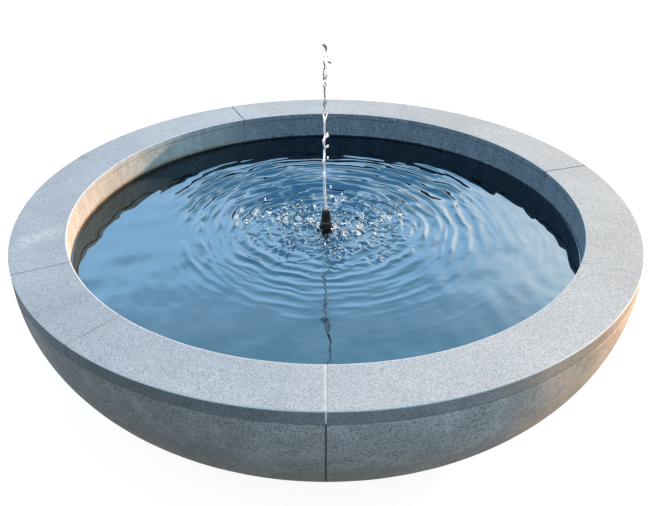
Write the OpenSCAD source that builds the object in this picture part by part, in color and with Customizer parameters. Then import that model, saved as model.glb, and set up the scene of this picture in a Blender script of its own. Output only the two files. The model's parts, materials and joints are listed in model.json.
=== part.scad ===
// Stone garden fountain: a round granite water bowl with a pump, a riser and one vertical jet.
// Millimetres. The origin is on the ground under the bowl's centre, +Z is up and -Y is the front.

/* [Coping] */
// Outside diameter of the coping ring
outer_d = 2000; // [1800:20:2300]
// Height of the stonework above the ground
basin_h = 500; // [460:5:600]
// Width of the coping, from its outer face to its inner edge
coping_w = 170; // [150:5:200]
// Thickness of the coping slab
slab_t = 20; // [18:1:30]
// Height of the drop edge that shows on the outside
drop_h = 40; // [34:1:60]
// Width of the drop edge
drop_w = 60; // [45:1:75]
// Width of the joints between stones
joint_w = 4; // [3:0.5:8]
// Thickness of the mortar beds
bed_t = 3; // [2:0.5:6]
// Depth of the mortar and the pointing behind the faces
recess = 3; // [1:0.5:5]
// Size of the eased stone edges
arris = 2.5; // [1:0.5:4]
// Diameter of the steel dowels under the coping
dowel_d = 10; // [8:1:14]
// Distance of a dowel from the end of its stone
dowel_end = 80; // [75:1:110]

/* [Bowl] */
// Diameter of the flat underside of the bowl
foot_d = 1534; // [1500:2:1600]
// Distance from the coping's inner edge back to the inner wall
wall_set = 2; // [1:1:10]
// Radius of the cove between the inner wall and the floor
cove_r = 240; // [200:5:260]
// Height of the basin floor above the ground
floor_z = 120; // [110:1:140]
// Length of the steel cramps across the bowl joints
cramp_l = 120; // [90:5:130]
// Width of the cramps
cramp_w = 12; // [8:1:20]
// Thickness of the cramps
cramp_t = 6; // [4:1:8]
// Depth of a cramp's legs below its bar
cramp_leg = 24; // [15:1:35]

/* [Base] */
// Diameter of the base stone's plinth
plinth_d = 1480; // [1420:10:1490]
// Height of the plinth, below the bowl's bed
plinth_h = 57; // [50:1:65]
// Diameter of the base stone where it forms the basin floor
boss_d = 1080; // [1040:10:1090]
// Width of the sealed gap round the basin floor
floor_gap = 5; // [4:1:10]
// Width of the service channel under the base stone
channel_w = 90; // [84:2:120]
// Height of the service channel
channel_h = 40; // [38:1:44]
// Distance of the channel's closed end behind the centre
channel_y = 140; // [130:5:150]

/* [Drain] */
// Distance of the drain behind the centre
drain_y = 330; // [290:5:420]
// Diameter of the drain flange
drain_flange_d = 90; // [84:2:110]
// Thickness of the drain flange
drain_flange_t = 8; // [6:1:12]
// Outside diameter of the drain's threaded tail
drain_tail_d = 48; // [45:0.5:52]
// Outside diameter of the drain's plain spigot, below the thread
drain_spigot_d = 43; // [42:0.5:44]
// Bore of the drain
drain_bore_d = 38; // [30:1:39]
// Diameter of the plug's head
plug_head_d = 60; // [52:1:70]

/* [Cable gland] */
// Distance of the gland behind the centre
gland_y = 200; // [190:5:220]
// Outside diameter of the gland's thread
gland_d = 20; // [18:1:25]
// Bore for the pump's lead
gland_bore_d = 9; // [6:0.5:10]

/* [Pump] */
// Distance of the nozzle's axis behind the centre
nozzle_y = 40; // [20:5:60]
// Length of the motor casing
casing_l = 86; // [80:1:110]
// Width of the pump
pump_w = 84; // [80:1:100]
// Height of the pump above its feet
pump_h = 84; // [80:1:90]
// Height of the rubber feet
foot_h = 6; // [4:1:8]
// Distance from the outlet's axis to the rotor's axis
rotor_off = 14; // [12:0.5:16]
// Radius of the impeller
impeller_r = 20; // [16:0.5:21]
// Number of impeller vanes
vanes = 7; // [5:1:9]
// Radius of the shaft
shaft_r = 3; // [2:0.5:3.5]
// Length of the strainer cover
strainer_l = 72; // [60:1:90]
// Wall of the strainer cover
strainer_wall = 2.5; // [2:0.5:3]
// Width of a strainer slot
slot_w = 3.5; // [2.5:0.5:4]
// Distance between strainer slots
slot_pitch = 8; // [7:0.5:10]

/* [Riser and nozzle] */
// Outside radius of the riser pipe
riser_r = 13.5; // [13:0.25:15]
// Outside radius of the telescopic tube
tube_r = 10.5; // [9.5:0.25:11]
// Wall of the telescopic tube
tube_wall = 2.5; // [1.5:0.5:3]
// Travel of the telescopic tube below its stored height
riser_down = 18; // [10:1:25]
// Radius of the ball joint's ball
ball_r = 12; // [11:0.25:13]
// Height of the ball's centre above the water
ball_rise = 14; // [12:1:20]
// Greatest tilt of the nozzle to a side
tilt_max = 10; // [4:1:10]
// Height of the nozzle's tip above the water
nozzle_rise = 68; // [60:1:90]
// Radius of the nozzle at its tip
tip_r = 13; // [10:0.5:14]
// Bore of the nozzle
jet_bore_d = 9; // [6:0.5:9]

/* [Water] */
// Distance from the coping's top down to the water
water_drop = 103; // [80:1:115]
// Height of the jet above the coping
jet_h = 531; // [300:1:700]
// Number of ripple rings
rings = 10; // [4:1:11]
// Distance between ripple crests
ring_pitch = 46; // [35:1:50]
// Height of the first ripple
ring_h = 5; // [2:0.5:6]

/* [Hidden] */

// Clearance between pieces that slide or sit loosely
fit = 0.3;
// Radial clearance of shafts and screws in their holes
running = 0.05;
// Gap between a mortar bed and the stone on each side of it
bed_gap = 0.05;
// Overshoot of a cutter past the face that it opens
over = 1;

// Stonework
outer_r = outer_d / 2;
inner_r = outer_r - coping_w;
wall_r = inner_r + wall_set;
drop_z = basin_h - drop_h;
slab_z = basin_h - slab_t;
ledge_z = drop_z - bed_t;
shelf_z = slab_z - bed_t;
shoulder_r = outer_r - drop_w - bed_t;
bowl_z = plinth_h + bed_t;
foot_in = outer_r - foot_d / 2;
belly_r = (foot_in * foot_in + (ledge_z - bowl_z) * (ledge_z - bowl_z)) / (2 * foot_in);
bowl_bore = boss_d / 2 + floor_gap;
water_z = basin_h - water_drop;

// Directions of the coping joints, counter-clockwise from +X. The stones are of unequal length.
joint_a = [18.5, 70, 114, 156, 205.5, 229, 270, 334.5];
// The coping joints that run on down through the bowl
bowl_joint = [0, 2, 4, 6];

dowel_up = slab_t / 2;
dowel_down = 20;
dowel_ring = (inner_r + shoulder_r) / 2;
dowel_turn = dowel_end / dowel_ring * 180 / PI;

// Drain and gland
gasket_t = 3;
locknut_t = 10;
tail_end = 12;
// The tail's thread ends this far below the locknut, and the plain spigot goes on
thread_end = channel_h - locknut_t - 2;
plug_seal_t = 2;
gland_hex = 15;
gland_flange_t = 6;
gland_top = 12;

// Pump, measured from the outlet's axis on the basin floor, with the rotor along X
axis_z = foot_h + pump_h / 2;
corner = 16;
flange_t = 5;
casing_x = 18;
chamber_x = -5;
volute_x = -20;
collar_x = -32;
collar_r = 25;
eye_r = 12;
chamber_r = impeller_r + 4;
scroll_growth = 7;
scroll_wall = 4;
outlet_r = 8;
stub_r = 12;
thread_r = 10.5;
stub_top = foot_h + pump_h + 2;
thread_top = stub_top + 12;
screw_r = 2;
screw_in = 11;
bush_l = 7;
bush_r = shaft_r + 2.5;
rotor_bore = 10;
magnet_x = casing_x + 4;
magnet_l = 46;
rotor_end = magnet_x + magnet_l + 2;
front_bush_x = chamber_x - bush_l - 1;
valve_r = 8;
valve_z = thread_top + 18;
valve_in = -14;
valve_out = 22;
spigot_top = valve_z + 24;

// Riser and nozzle, measured from the basin floor
ball_z = water_z - floor_z + ball_rise;
socket_z = ball_z - 40;
cup_z = ball_z - 22;
nut_t = 22;
nut_z = socket_z - riser_down - 2 - nut_t;
pipe_top = nut_z + nut_t / 2;
pipe_bore = tube_r + fit;
tube_z = spigot_top + riser_down + 2;
seal_t = 1.7;
seat_r = ball_r + 2 * fit + seal_t;
cup_r = seat_r + 2.4;
collar_out = cup_r + fit + 2.4;
dome_r = collar_out + 1;
skirt_r = dome_r + fit + 0.2;
skirt_a = 34;
neck_r = jet_bore_d / 2 + 2;
tilt_both = acos(cos(tilt_max) * cos(tilt_max));
opening_a = asin(neck_r / (ball_r + fit)) + tilt_both + 1.5;
tip_z = water_z - floor_z + nozzle_rise;

$fn = 64;

module stone() { color([0.66, 0.69, 0.72]) children(); }
module bowl_stone_colour() { color([0.43, 0.47, 0.50]) children(); }
module mortar() { color([0.80, 0.80, 0.78]) children(); }
module black() { color([0.10, 0.11, 0.10]) children(); }
module rubber() { color([0.16, 0.16, 0.17]) children(); }
module brass() { color([0.72, 0.58, 0.30]) children(); }
module steel() { color([0.74, 0.75, 0.77]) children(); }
module water() { color([0.33, 0.50, 0.61, 0.8]) children(); }

// Half section of the coping, shrunk by inset on all sides
module coping_section(inset = 0) {
    a = arris;
    out = outer_r - inset;
    in = inner_r + inset;
    top = basin_h - inset;
    polygon([
        [in, slab_z + inset + a], [in + a, slab_z + inset],
        [outer_r - drop_w + inset, slab_z + inset], [outer_r - drop_w + inset, drop_z + inset],
        [out - a, drop_z + inset], [out, drop_z + inset + a],
        [out, top - a], [out - a * 0.3, top - a * 0.3], [out - a, top],
        [in + a, top], [in + a * 0.3, top - a * 0.3], [in, top - a]
    ]);
}

// Half section of the water space: straight wall, cove and floor, grown by grow
module basin_void(grow = 0) {
    translate([wall_r - cove_r, floor_z + cove_r]) circle(r = cove_r + grow, $fn = 128);
    translate([0, floor_z - grow]) square([wall_r - cove_r, basin_h]);
    translate([0, floor_z + cove_r]) square([wall_r + grow, basin_h]);
}

// Half section of the bowl wall, shrunk by inset on all sides
module bowl_section(inset = 0) {
    out = outer_r - inset;
    difference() {
        intersection() {
            union() {
                translate([outer_r - belly_r, ledge_z]) circle(r = belly_r - inset, $fn = 128);
                square([outer_r - belly_r, basin_h]);
                translate([0, ledge_z - inset]) square([shoulder_r, basin_h]);
            }
            polygon([
                [bowl_bore + inset, bowl_z + inset], [out, bowl_z + inset],
                [out, ledge_z - inset - arris], [out - arris, ledge_z - inset],
                [shoulder_r - inset, ledge_z - inset], [shoulder_r - inset, shelf_z - inset],
                [bowl_bore + inset, shelf_z - inset]
            ]);
        }
        basin_void(inset);
    }
}

// One stone of a ring between two joints, with parallel-sided joints
module ring_stone(from, to) {
    difference() {
        rotate([0, 0, from]) rotate_extrude(angle = to - from, $fn = 192) children();
        for (a = [from, to])
            rotate([0, 0, a]) translate([0, -joint_w / 2, -over]) cube([outer_r + over, joint_w, basin_h + 2 * over]);
    }
}

// A flat filler that stands in the joint at angle a
module joint_filler(a) {
    rotate([0, 0, a]) rotate([90, 0, 0]) translate([0, 0, -joint_w / 2]) linear_extrude(joint_w) children();
}

function joint_end(i) = i + 1 < len(joint_a) ? joint_a[i + 1] : joint_a[0] + 360;
function bowl_end(i) = i + 1 < len(bowl_joint) ? joint_a[bowl_joint[i + 1]] : joint_a[bowl_joint[0]] + 360;

// The dowels that lie between two directions, each grown by grow
module dowels(from, to, grow = 0) {
    for (i = [0:len(joint_a) - 1], a = [joint_a[i] + dowel_turn, joint_end(i) - dowel_turn])
        if (a > from && a < to || a - 360 > from && a - 360 < to || a + 360 > from && a + 360 < to)
            rotate([0, 0, a]) translate([dowel_ring, 0, shelf_z - dowel_down - grow])
                cylinder(r = dowel_d / 2 + grow, h = dowel_down + bed_t + dowel_up + 2 * grow);
}

module coping_stone(i) {
    stone() difference() {
        ring_stone(joint_a[i], joint_end(i)) coping_section();
        dowels(joint_a[i], joint_end(i), fit);
    }
}

module coping_pointing() {
    mortar() for (a = joint_a) joint_filler(a) coping_section(recess);
}

// The bed steps down behind the drop edge, so it keeps the coping from sliding
module coping_bed() {
    back_r = outer_r - drop_w;
    low = shelf_z + bed_gap;
    high = slab_z - bed_gap;
    mortar() difference() {
        rotate_extrude($fn = 192) polygon([
            [inner_r + wall_set + recess, low], [shoulder_r + fit, low], [shoulder_r + fit, ledge_z + bed_gap],
            [outer_r - recess, ledge_z + bed_gap], [outer_r - recess, drop_z - bed_gap], [back_r - fit, drop_z - bed_gap],
            [back_r - fit, high], [inner_r + wall_set + recess, high]
        ]);
        dowels(-1, 361, fit);
    }
}

module coping_dowels() { steel() dowels(-1, 361); }

// A staple-shaped cramp across the joint at angle a, grown by grow
module cramp(a, grow = 0) {
    bar_z = shelf_z - cramp_t;
    rotate([0, 0, a]) translate([dowel_ring - cramp_w / 2 - grow, 0, 0]) {
        translate([0, -cramp_l / 2 - grow, bar_z - grow]) cube([cramp_w + 2 * grow, cramp_l + 2 * grow, cramp_t + grow]);
        for (s = [-1, 1])
            translate([0, s * (cramp_l - cramp_t) / 2 - cramp_t / 2 - grow, bar_z - cramp_leg - grow])
                cube([cramp_w + 2 * grow, cramp_t + 2 * grow, cramp_leg + cramp_t + 2 * grow]);
    }
}

module bowl_stone(i) {
    from = joint_a[bowl_joint[i]];
    bowl_stone_colour() difference() {
        ring_stone(from, bowl_end(i)) bowl_section();
        dowels(from, bowl_end(i), fit);
        for (a = [from, bowl_end(i)]) cramp(a, fit);
    }
}

module bowl_joint_seals() {
    rubber() for (i = bowl_joint) difference() {
        joint_filler(joint_a[i]) bowl_section(recess);
        cramp(joint_a[i], fit);
    }
}

module tie_cramps() { steel() for (i = bowl_joint) cramp(joint_a[i]); }

// The base stone carries the bowl on its plinth, and its raised middle is the basin floor
module base_stone() {
    bowl_stone_colour() difference() {
        union() {
            cylinder(d = plinth_d, h = plinth_h, $fn = 192);
            cylinder(d = boss_d, h = floor_z, $fn = 192);
        }
        translate([-channel_w / 2, channel_y, -over]) cube([channel_w, plinth_d, channel_h + over]);
        translate([0, drain_y, channel_h - over]) cylinder(d = drain_tail_d + 2, h = floor_z);
        translate([0, drain_y, floor_z - drain_flange_t - gasket_t]) cylinder(d = drain_flange_d + 2, h = floor_z);
        translate([0, gland_y, channel_h - over]) cylinder(d = gland_d + 1, h = floor_z);
    }
}

module bowl_bed() {
    mortar() translate([0, 0, plinth_h + bed_gap]) difference() {
        cylinder(d = plinth_d - 2 * recess, h = bed_t - 2 * bed_gap, $fn = 192);
        translate([0, 0, -over]) cylinder(d = boss_d + 2 * fit, h = bed_t + 2 * over, $fn = 192);
    }
}

module floor_seal() {
    rubber() translate([0, 0, bowl_z]) difference() {
        cylinder(r = bowl_bore - fit, h = floor_z - bowl_z - recess, $fn = 192);
        translate([0, 0, -over]) cylinder(d = boss_d + 2 * fit, h = floor_z, $fn = 192);
    }
}

module hexagon_nut(across, h, bore) {
    difference() {
        cylinder(r = across / sqrt(3), h = h, $fn = 6);
        translate([0, 0, -over]) cylinder(r = bore, h = h + 2 * over);
    }
}

module drain_body() {
    flange_z = floor_z - drain_flange_t;
    brass() translate([0, drain_y, 0]) difference() {
        union() {
            translate([0, 0, tail_end]) cylinder(d = drain_spigot_d, h = thread_end - tail_end + over);
            translate([0, 0, thread_end]) cylinder(d = drain_tail_d, h = flange_z - thread_end + over);
            translate([0, 0, flange_z]) cylinder(d = drain_flange_d, h = drain_flange_t);
        }
        translate([0, 0, -over]) cylinder(d = drain_bore_d, h = floor_z + 2 * over);
    }
}

module drain_gasket() {
    rubber() translate([0, drain_y, floor_z - drain_flange_t - gasket_t]) difference() {
        cylinder(d = drain_flange_d, h = gasket_t);
        translate([0, 0, -over]) cylinder(d = drain_tail_d + 2 * fit, h = gasket_t + 2 * over);
    }
}

module drain_locknut() {
    brass() translate([0, drain_y, channel_h - locknut_t])
        hexagon_nut(drain_tail_d + 14, locknut_t, drain_tail_d / 2 + running);
}

// The plug is lifted out by its ring
module drain_plug() {
    head_z = floor_z + plug_seal_t + fit;
    black() translate([0, drain_y, head_z]) {
        difference() {
            union() {
                cylinder(d = plug_head_d, h = 6);
                translate([0, 0, -28]) cylinder(d = drain_bore_d - 2 * fit, h = 29);
                translate([0, 0, 5]) cylinder(r = 6, h = 5);
            }
            translate([0, 0, -29]) cylinder(d = drain_bore_d - 10, h = 26);
        }
        translate([0, 0, 20]) rotate([90, 0, 0]) rotate_extrude() translate([11, 0]) circle(r = 2.2, $fn = 24);
    }
}

module plug_seal() {
    rubber() translate([0, drain_y, floor_z + fit]) difference() {
        cylinder(d = plug_head_d - 4, h = plug_seal_t);
        translate([0, 0, -over]) cylinder(d = drain_bore_d + fit, h = plug_seal_t + 2 * over);
    }
}

module gland_body() {
    black() translate([0, gland_y, 0]) difference() {
        union() {
            translate([0, 0, channel_h - 14]) cylinder(d = gland_d, h = floor_z - channel_h + 14 + gland_flange_t + gland_top);
            translate([0, 0, floor_z]) cylinder(r = gland_hex * 1.15, h = gland_flange_t, $fn = 6);
        }
        cylinder(d = gland_bore_d, h = floor_z + 60);
        translate([0, 0, floor_z + gland_flange_t + gland_top - 7]) cylinder(d = gland_d - 4, h = 60);
    }
}

module gland_seal() {
    rubber() translate([0, gland_y, floor_z + gland_flange_t + gland_top - 7]) difference() {
        cylinder(d = gland_d - 4 - fit, h = 7);
        translate([0, 0, -over]) cylinder(d = gland_bore_d - 0.5, h = 9);
    }
}

module gland_dome_nut() {
    nut_base = floor_z + gland_flange_t + 0.5;
    nut_h = gland_top + 4;
    black() translate([0, gland_y, nut_base]) difference() {
        intersection() {
            cylinder(r = gland_hex * 1.12, h = nut_h, $fn = 6);
            translate([0, 0, -6]) sphere(r = nut_h + 7, $fn = 64);
        }
        translate([0, 0, -over]) cylinder(d = gland_d + 2 * running, h = gland_top + over);
        cylinder(d = gland_bore_d, h = 40);
    }
}

module gland_locknut() {
    black() translate([0, gland_y, channel_h - 7]) hexagon_nut(gland_d + 8, 7, gland_d / 2 + running);
}

// The pump stands with its outlet under the nozzle
module at_pump() { translate([0, nozzle_y, floor_z]) children(); }
module at_rotor(x) { translate([x, -rotor_off, axis_z]) rotate([90, 0, 90]) children(); }

// Outline of the pump seen along the rotor, inset on all sides
module pump_outline(inset = 0) {
    w = pump_w - 2 * inset;
    h = pump_h - 2 * inset;
    c = corner - inset;
    square([w - 2 * c, h], center = true);
    square([w, h - 2 * c], center = true);
    for (x = [-1, 1], y = [-1, 1]) translate([x * (w / 2 - c), y * (h / 2 - c)]) circle(r = c, $fn = 48);
}

module screw_places() {
    for (x = [-1, 1], y = [-1, 1]) translate([x * (pump_w / 2 - screw_in), y * (pump_h / 2 - screw_in), 0]) children();
}

// Motor casing: a ribbed block with the wet rotor's bore and the inlet boss of the lead
module pump_casing() {
    black() at_pump() difference() {
        union() {
            at_rotor(casing_x) linear_extrude(flange_t) pump_outline();
            at_rotor(casing_x) linear_extrude(casing_l) pump_outline(4);
            for (x = [18:11:casing_l - 6])
                at_rotor(casing_x + x) linear_extrude(4) pump_outline(1);
            at_rotor(casing_x + casing_l - over) cylinder(r = 9, h = 13);
            for (x = [casing_x + 20, casing_x + casing_l - 14], y = [-1, 1])
                translate([x, y * (pump_w / 2 - 20) - rotor_off, foot_h]) cylinder(r = 9.5, h = 10);
        }
        at_rotor(casing_x - over) cylinder(r = rotor_bore, h = rotor_end + bush_l - casing_x + over);
        at_rotor(casing_x + casing_l - 8) cylinder(r = 4.5, h = 40);
        at_rotor(casing_x - over) screw_places() cylinder(r = screw_r + running, h = 16);
    }
}

module pump_feet() {
    rubber() at_pump() for (x = [casing_x + 20, casing_x + casing_l - 14], y = [-1, 1])
        translate([x, y * (pump_w / 2 - 20) - rotor_off, 0]) cylinder(r1 = 7, r2 = 8.5, h = foot_h, $fn = 48);
}

// Radius of the scroll at angle a, growing towards the outlet
function scroll(a, extra) = chamber_r + extra + scroll_growth * a / 360;
function scroll_points(extra) = [for (a = [0:10:360]) scroll(a, extra) * [cos(a), sin(a)]];

// Volute: the scroll round the impeller, its suction eye with a spider, and the upright outlet
module pump_volute() {
    black() at_pump() difference() {
        union() {
            at_rotor(volute_x) linear_extrude(casing_x - volute_x) polygon(scroll_points(scroll_wall));
            at_rotor(casing_x - flange_t) linear_extrude(flange_t) pump_outline();
            at_rotor(collar_x) cylinder(r = collar_r, h = volute_x - collar_x + over);
            translate([0, 0, axis_z]) cylinder(r = stub_r, h = stub_top - axis_z);
            translate([0, 0, stub_top - over]) cylinder(r = thread_r, h = thread_top - stub_top + over);
        }
        at_rotor(chamber_x) linear_extrude(casing_x - chamber_x - flange_t) polygon(scroll_points(0));
        at_rotor(chamber_x) cylinder(r = chamber_r, h = 60);
        at_rotor(collar_x - over) cylinder(r = collar_r - 3, h = volute_x - collar_x + over);
        difference() {
            at_rotor(collar_x - over) cylinder(r = eye_r, h = 40);
            at_rotor(volute_x) linear_extrude(front_bush_x + bush_l - volute_x) {
                circle(r = bush_r + 2);
                for (a = [90, 210, 330]) rotate(a) translate([0, -1.5]) square([eye_r + over, 3]);
            }
        }
        at_rotor(front_bush_x) cylinder(r = bush_r + running, h = 40);
        translate([0, 0, axis_z]) cylinder(r = outlet_r, h = thread_top);
        at_rotor(casing_x - 40) screw_places() cylinder(r = screw_r + fit, h = 60);
    }
}

module volute_gasket() {
    rubber() at_pump() at_rotor(casing_x - 2) difference() {
        cylinder(r = chamber_r - fit, h = 2);
        translate([0, 0, -over]) cylinder(r = chamber_r - 4, h = 4);
    }
}

module volute_screws() {
    steel() at_pump() at_rotor(casing_x - flange_t) screw_places() {
        cylinder(r = screw_r, h = 20);
        translate([0, 0, -3]) difference() {
            cylinder(r = 3.8, h = 3);
            translate([0, 0, -over]) cylinder(r = 2, h = 2.4, $fn = 6);
        }
    }
}

module rotor_shaft() {
    color([0.92, 0.92, 0.90]) at_pump() at_rotor(front_bush_x) cylinder(r = shaft_r, h = rotor_end + bush_l - front_bush_x - 1);
}

module shaft_bushes() {
    rubber() at_pump() {
        at_rotor(front_bush_x) difference() {
            cylinder(r = bush_r, h = bush_l);
            translate([0, 0, -over]) cylinder(r = shaft_r + running, h = bush_l + 2 * over);
        }
        at_rotor(rotor_end) difference() {
            cylinder(r = rotor_bore - running, h = bush_l);
            translate([0, 0, -over]) cylinder(r = shaft_r + running, h = bush_l + 2 * over);
        }
    }
}

module rotor_magnet() {
    color([0.25, 0.25, 0.27]) at_pump() at_rotor(magnet_x) difference() {
        cylinder(r = rotor_bore - 0.5, h = magnet_l);
        translate([0, 0, -over]) cylinder(r = shaft_r + running, h = magnet_l + 2 * over);
    }
}

// Impeller: backward-curved vanes on a disc, with a sleeve that reaches the magnet
module impeller() {
    vane_r = impeller_r * 0.75;
    disc_x = 5;
    color([0.85, 0.86, 0.84]) at_pump() difference() {
        union() {
            at_rotor(disc_x) cylinder(r = impeller_r, h = 2.5);
            at_rotor(chamber_x + 2) cylinder(r = shaft_r + 2.5, h = magnet_x - chamber_x - 2);
            at_rotor(chamber_x + 2) linear_extrude(disc_x - chamber_x - 1) intersection() {
                circle(r = impeller_r);
                for (i = [1:vanes]) rotate(i * 360 / vanes) translate([impeller_r / 2 + 1, -vane_r * 0.4]) difference() {
                    circle(r = vane_r);
                    circle(r = vane_r - 1.6);
                    translate([-impeller_r * 2, -impeller_r * 2]) square([impeller_r * 4, impeller_r * 2]);
                    translate([-impeller_r * 2, 0]) square([impeller_r * 2, impeller_r * 2]);
                }
            }
        }
        at_rotor(-over + chamber_x) cylinder(r = shaft_r + running, h = 60);
    }
}

strainer_x = volute_x - fit - strainer_l;

// Strainer: a slotted cover that pushes on over the volute's collar
module strainer_cover() {
    w = strainer_wall;
    columns = floor((pump_w / 2 - corner) / slot_pitch);
    rows = floor((strainer_l / 2 - 8) / slot_pitch);
    black() at_pump() difference() {
        at_rotor(strainer_x) linear_extrude(strainer_l) pump_outline();
        at_rotor(strainer_x + w) linear_extrude(strainer_l - 2 * w) pump_outline(w);
        at_rotor(strainer_x + strainer_l / 2) cylinder(r = collar_r + fit, h = strainer_l);
        at_rotor(strainer_x) for (i = [-columns:columns])
            translate([i * slot_pitch - slot_w / 2, -pump_h / 2 + corner, -over])
                cube([slot_w, pump_h - 2 * corner, w + 2 * over]);
        at_rotor(strainer_x + strainer_l / 2) for (i = [-rows:rows]) {
            translate([-pump_w, -pump_h / 2 + corner, i * slot_pitch - slot_w / 2])
                cube([2 * pump_w, pump_h - 2 * corner, slot_w]);
            translate([-pump_w / 2 + corner, 0, i * slot_pitch - slot_w / 2])
                cube([pump_w - 2 * corner, pump_h, slot_w]);
        }
    }
}

module strainer_foam() {
    w = strainer_wall + fit;
    color([0.12, 0.13, 0.14]) at_pump() difference() {
        at_rotor(strainer_x + w) linear_extrude(strainer_l - 2 * w) pump_outline(w);
        at_rotor(collar_x - 2) cylinder(r = collar_r + 2, h = strainer_l);
    }
}

// Outlet adapter: a threaded socket, a cross bore for the valve plug, and the riser's spigot
module outlet_adapter() {
    black() at_pump() difference() {
        union() {
            translate([0, 0, stub_top]) cylinder(r = thread_r + 4, h = valve_z - stub_top);
            translate([0, valve_in - 3, valve_z]) rotate([-90, 0, 0]) cylinder(r = valve_r + 4, h = valve_out - valve_in);
            translate([0, 0, valve_z]) cylinder(r = pipe_bore - running, h = spigot_top - valve_z);
        }
        translate([0, 0, stub_top - over]) cylinder(r = thread_r + running, h = thread_top + 2 * over - stub_top);
        translate([0, 0, stub_top]) cylinder(r = 6, h = spigot_top);
        translate([0, valve_in, valve_z]) rotate([-90, 0, 0]) cylinder(r = valve_r + running, h = 60);
    }
}

// The plug turns a quarter of a turn to throttle the flow
module flow_plug() {
    color([0.85, 0.86, 0.84]) at_pump() difference() {
        translate([0, valve_in + fit, valve_z]) rotate([-90, 0, 0]) cylinder(r = valve_r, h = valve_out - 3 - valve_in);
        translate([0, 0, valve_z - 20]) cylinder(r = 6, h = 40);
    }
}

module flow_dial() {
    black() at_pump() translate([0, valve_out - 3 + fit, valve_z]) rotate([-90, 0, 0]) {
        difference() {
            cylinder(r = 15, h = 9);
            for (a = [0:30:330]) rotate([0, 0, a]) translate([17, 0, -over]) cylinder(r = 3.4, h = 11, $fn = 24);
        }
        translate([-2, -13, 8]) cube([4, 26, 5]);
    }
}

module riser_pipe() {
    black() at_pump() translate([0, 0, valve_z + valve_r + 5]) difference() {
        cylinder(r = riser_r, h = pipe_top - valve_z - valve_r - 5);
        translate([0, 0, -over]) cylinder(r = pipe_bore, h = pipe_top);
    }
}

// A round nut with finger grooves
module grip_nut(r, h) {
    difference() {
        cylinder(r = r, h = h);
        for (a = [0:22.5:337.5]) rotate([0, 0, a]) translate([r + 1.2, 0, -over]) cylinder(r = 2, h = h + 2 * over, $fn = 24);
    }
}

module riser_lock_nut() {
    black() at_pump() translate([0, 0, nut_z]) difference() {
        grip_nut(riser_r + 5, nut_t);
        translate([0, 0, -over]) cylinder(r = riser_r + running, h = nut_t / 2 + over + fit);
        translate([0, 0, -over]) cylinder(r = tube_r + running, h = nut_t + 2 * over);
    }
}

module telescopic_tube() {
    black() at_pump() translate([0, 0, tube_z]) difference() {
        cylinder(r = tube_r, h = cup_z - tube_z - fit);
        translate([0, 0, -over]) cylinder(r = tube_r - tube_wall, h = cup_z);
    }
}

// Ball socket: a sleeve on the tube and a cup with a spherical seat
module ball_socket() {
    black() at_pump() difference() {
        union() {
            translate([0, 0, socket_z]) cylinder(r = tube_r + 3, h = cup_z - socket_z + over);
            translate([0, 0, cup_z]) cylinder(r = cup_r, h = ball_z - 1 - cup_z);
        }
        translate([0, 0, socket_z - over]) cylinder(r = tube_r + running, h = cup_z - socket_z + over);
        cylinder(r = 7, h = ball_z);
        translate([0, 0, ball_z]) sphere(r = seat_r, $fn = 96);
    }
}

// Spherical ring between the ball and its seat
module ball_seal() {
    rubber() at_pump() translate([0, 0, ball_z]) difference() {
        intersection() {
            sphere(r = ball_r + fit + seal_t, $fn = 96);
            translate([0, 0, -ball_r * 0.8]) cylinder(r = seat_r, h = ball_r * 0.45);
        }
        sphere(r = ball_r + fit, $fn = 96);
    }
}

// Collar nut: grooved skirt and a domed top that keeps the ball in
module ball_collar_nut() {
    black() at_pump() difference() {
        intersection() {
            translate([0, 0, cup_z + 2]) grip_nut(collar_out, ball_z);
            union() {
                translate([0, 0, ball_z]) sphere(r = dome_r, $fn = 96);
                cylinder(r = collar_out + 1, h = ball_z);
            }
        }
        translate([0, 0, cup_z - over]) cylinder(r = cup_r + fit, h = ball_z - cup_z - 1 + over + fit);
        translate([0, 0, ball_z]) sphere(r = ball_r + fit, $fn = 96);
        translate([0, 0, ball_z]) cylinder(r1 = 0.01, r2 = 30 * tan(opening_a), h = 30);
    }
}

// Nozzle: a ball, a neck and a tapered spout whose hollow skirt covers the collar's dome
module nozzle() {
    skirt_z = skirt_r * sin(skirt_a);
    base_r = skirt_r * cos(skirt_a);
    top = tip_z - ball_z;
    black() at_pump() translate([0, 0, ball_z]) difference() {
        union() {
            sphere(r = ball_r, $fn = 96);
            cylinder(r = neck_r, h = skirt_r + 2);
            difference() {
                union() {
                    translate([0, 0, skirt_z]) cylinder(r1 = base_r, r2 = tip_r, h = top - skirt_z - 3);
                    translate([0, 0, top - 3 - 0.01]) cylinder(r1 = tip_r, r2 = tip_r - 2, h = 3.01);
                }
                sphere(r = skirt_r, $fn = 96);
            }
        }
        translate([0, 0, -2 * ball_r]) cylinder(d = jet_bore_d, h = top + 4 * ball_r);
        translate([0, 0, -2 * ball_r]) cylinder(r1 = ball_r + 5, r2 = 0.01, h = ball_r + 5, $fn = 64);
    }
}

// Radius of the curve whose crest is h high and 2 * w wide
function crest_r(w, h) = (w * w + h * h) / (2 * h);

// Crests of the ripples that run out from the jet
module ripples() {
    half = ring_pitch * 0.36;
    for (i = [1:rings]) {
        h = ring_h * pow(0.84, i - 1);
        r = crest_r(half, h);
        translate([0, nozzle_y, water_z]) rotate_extrude($fn = 128) intersection() {
            translate([i * ring_pitch, h - r]) circle(r = r, $fn = 128);
            translate([0, -over]) square([outer_r, ring_h + 2 * over]);
        }
    }
}

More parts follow.
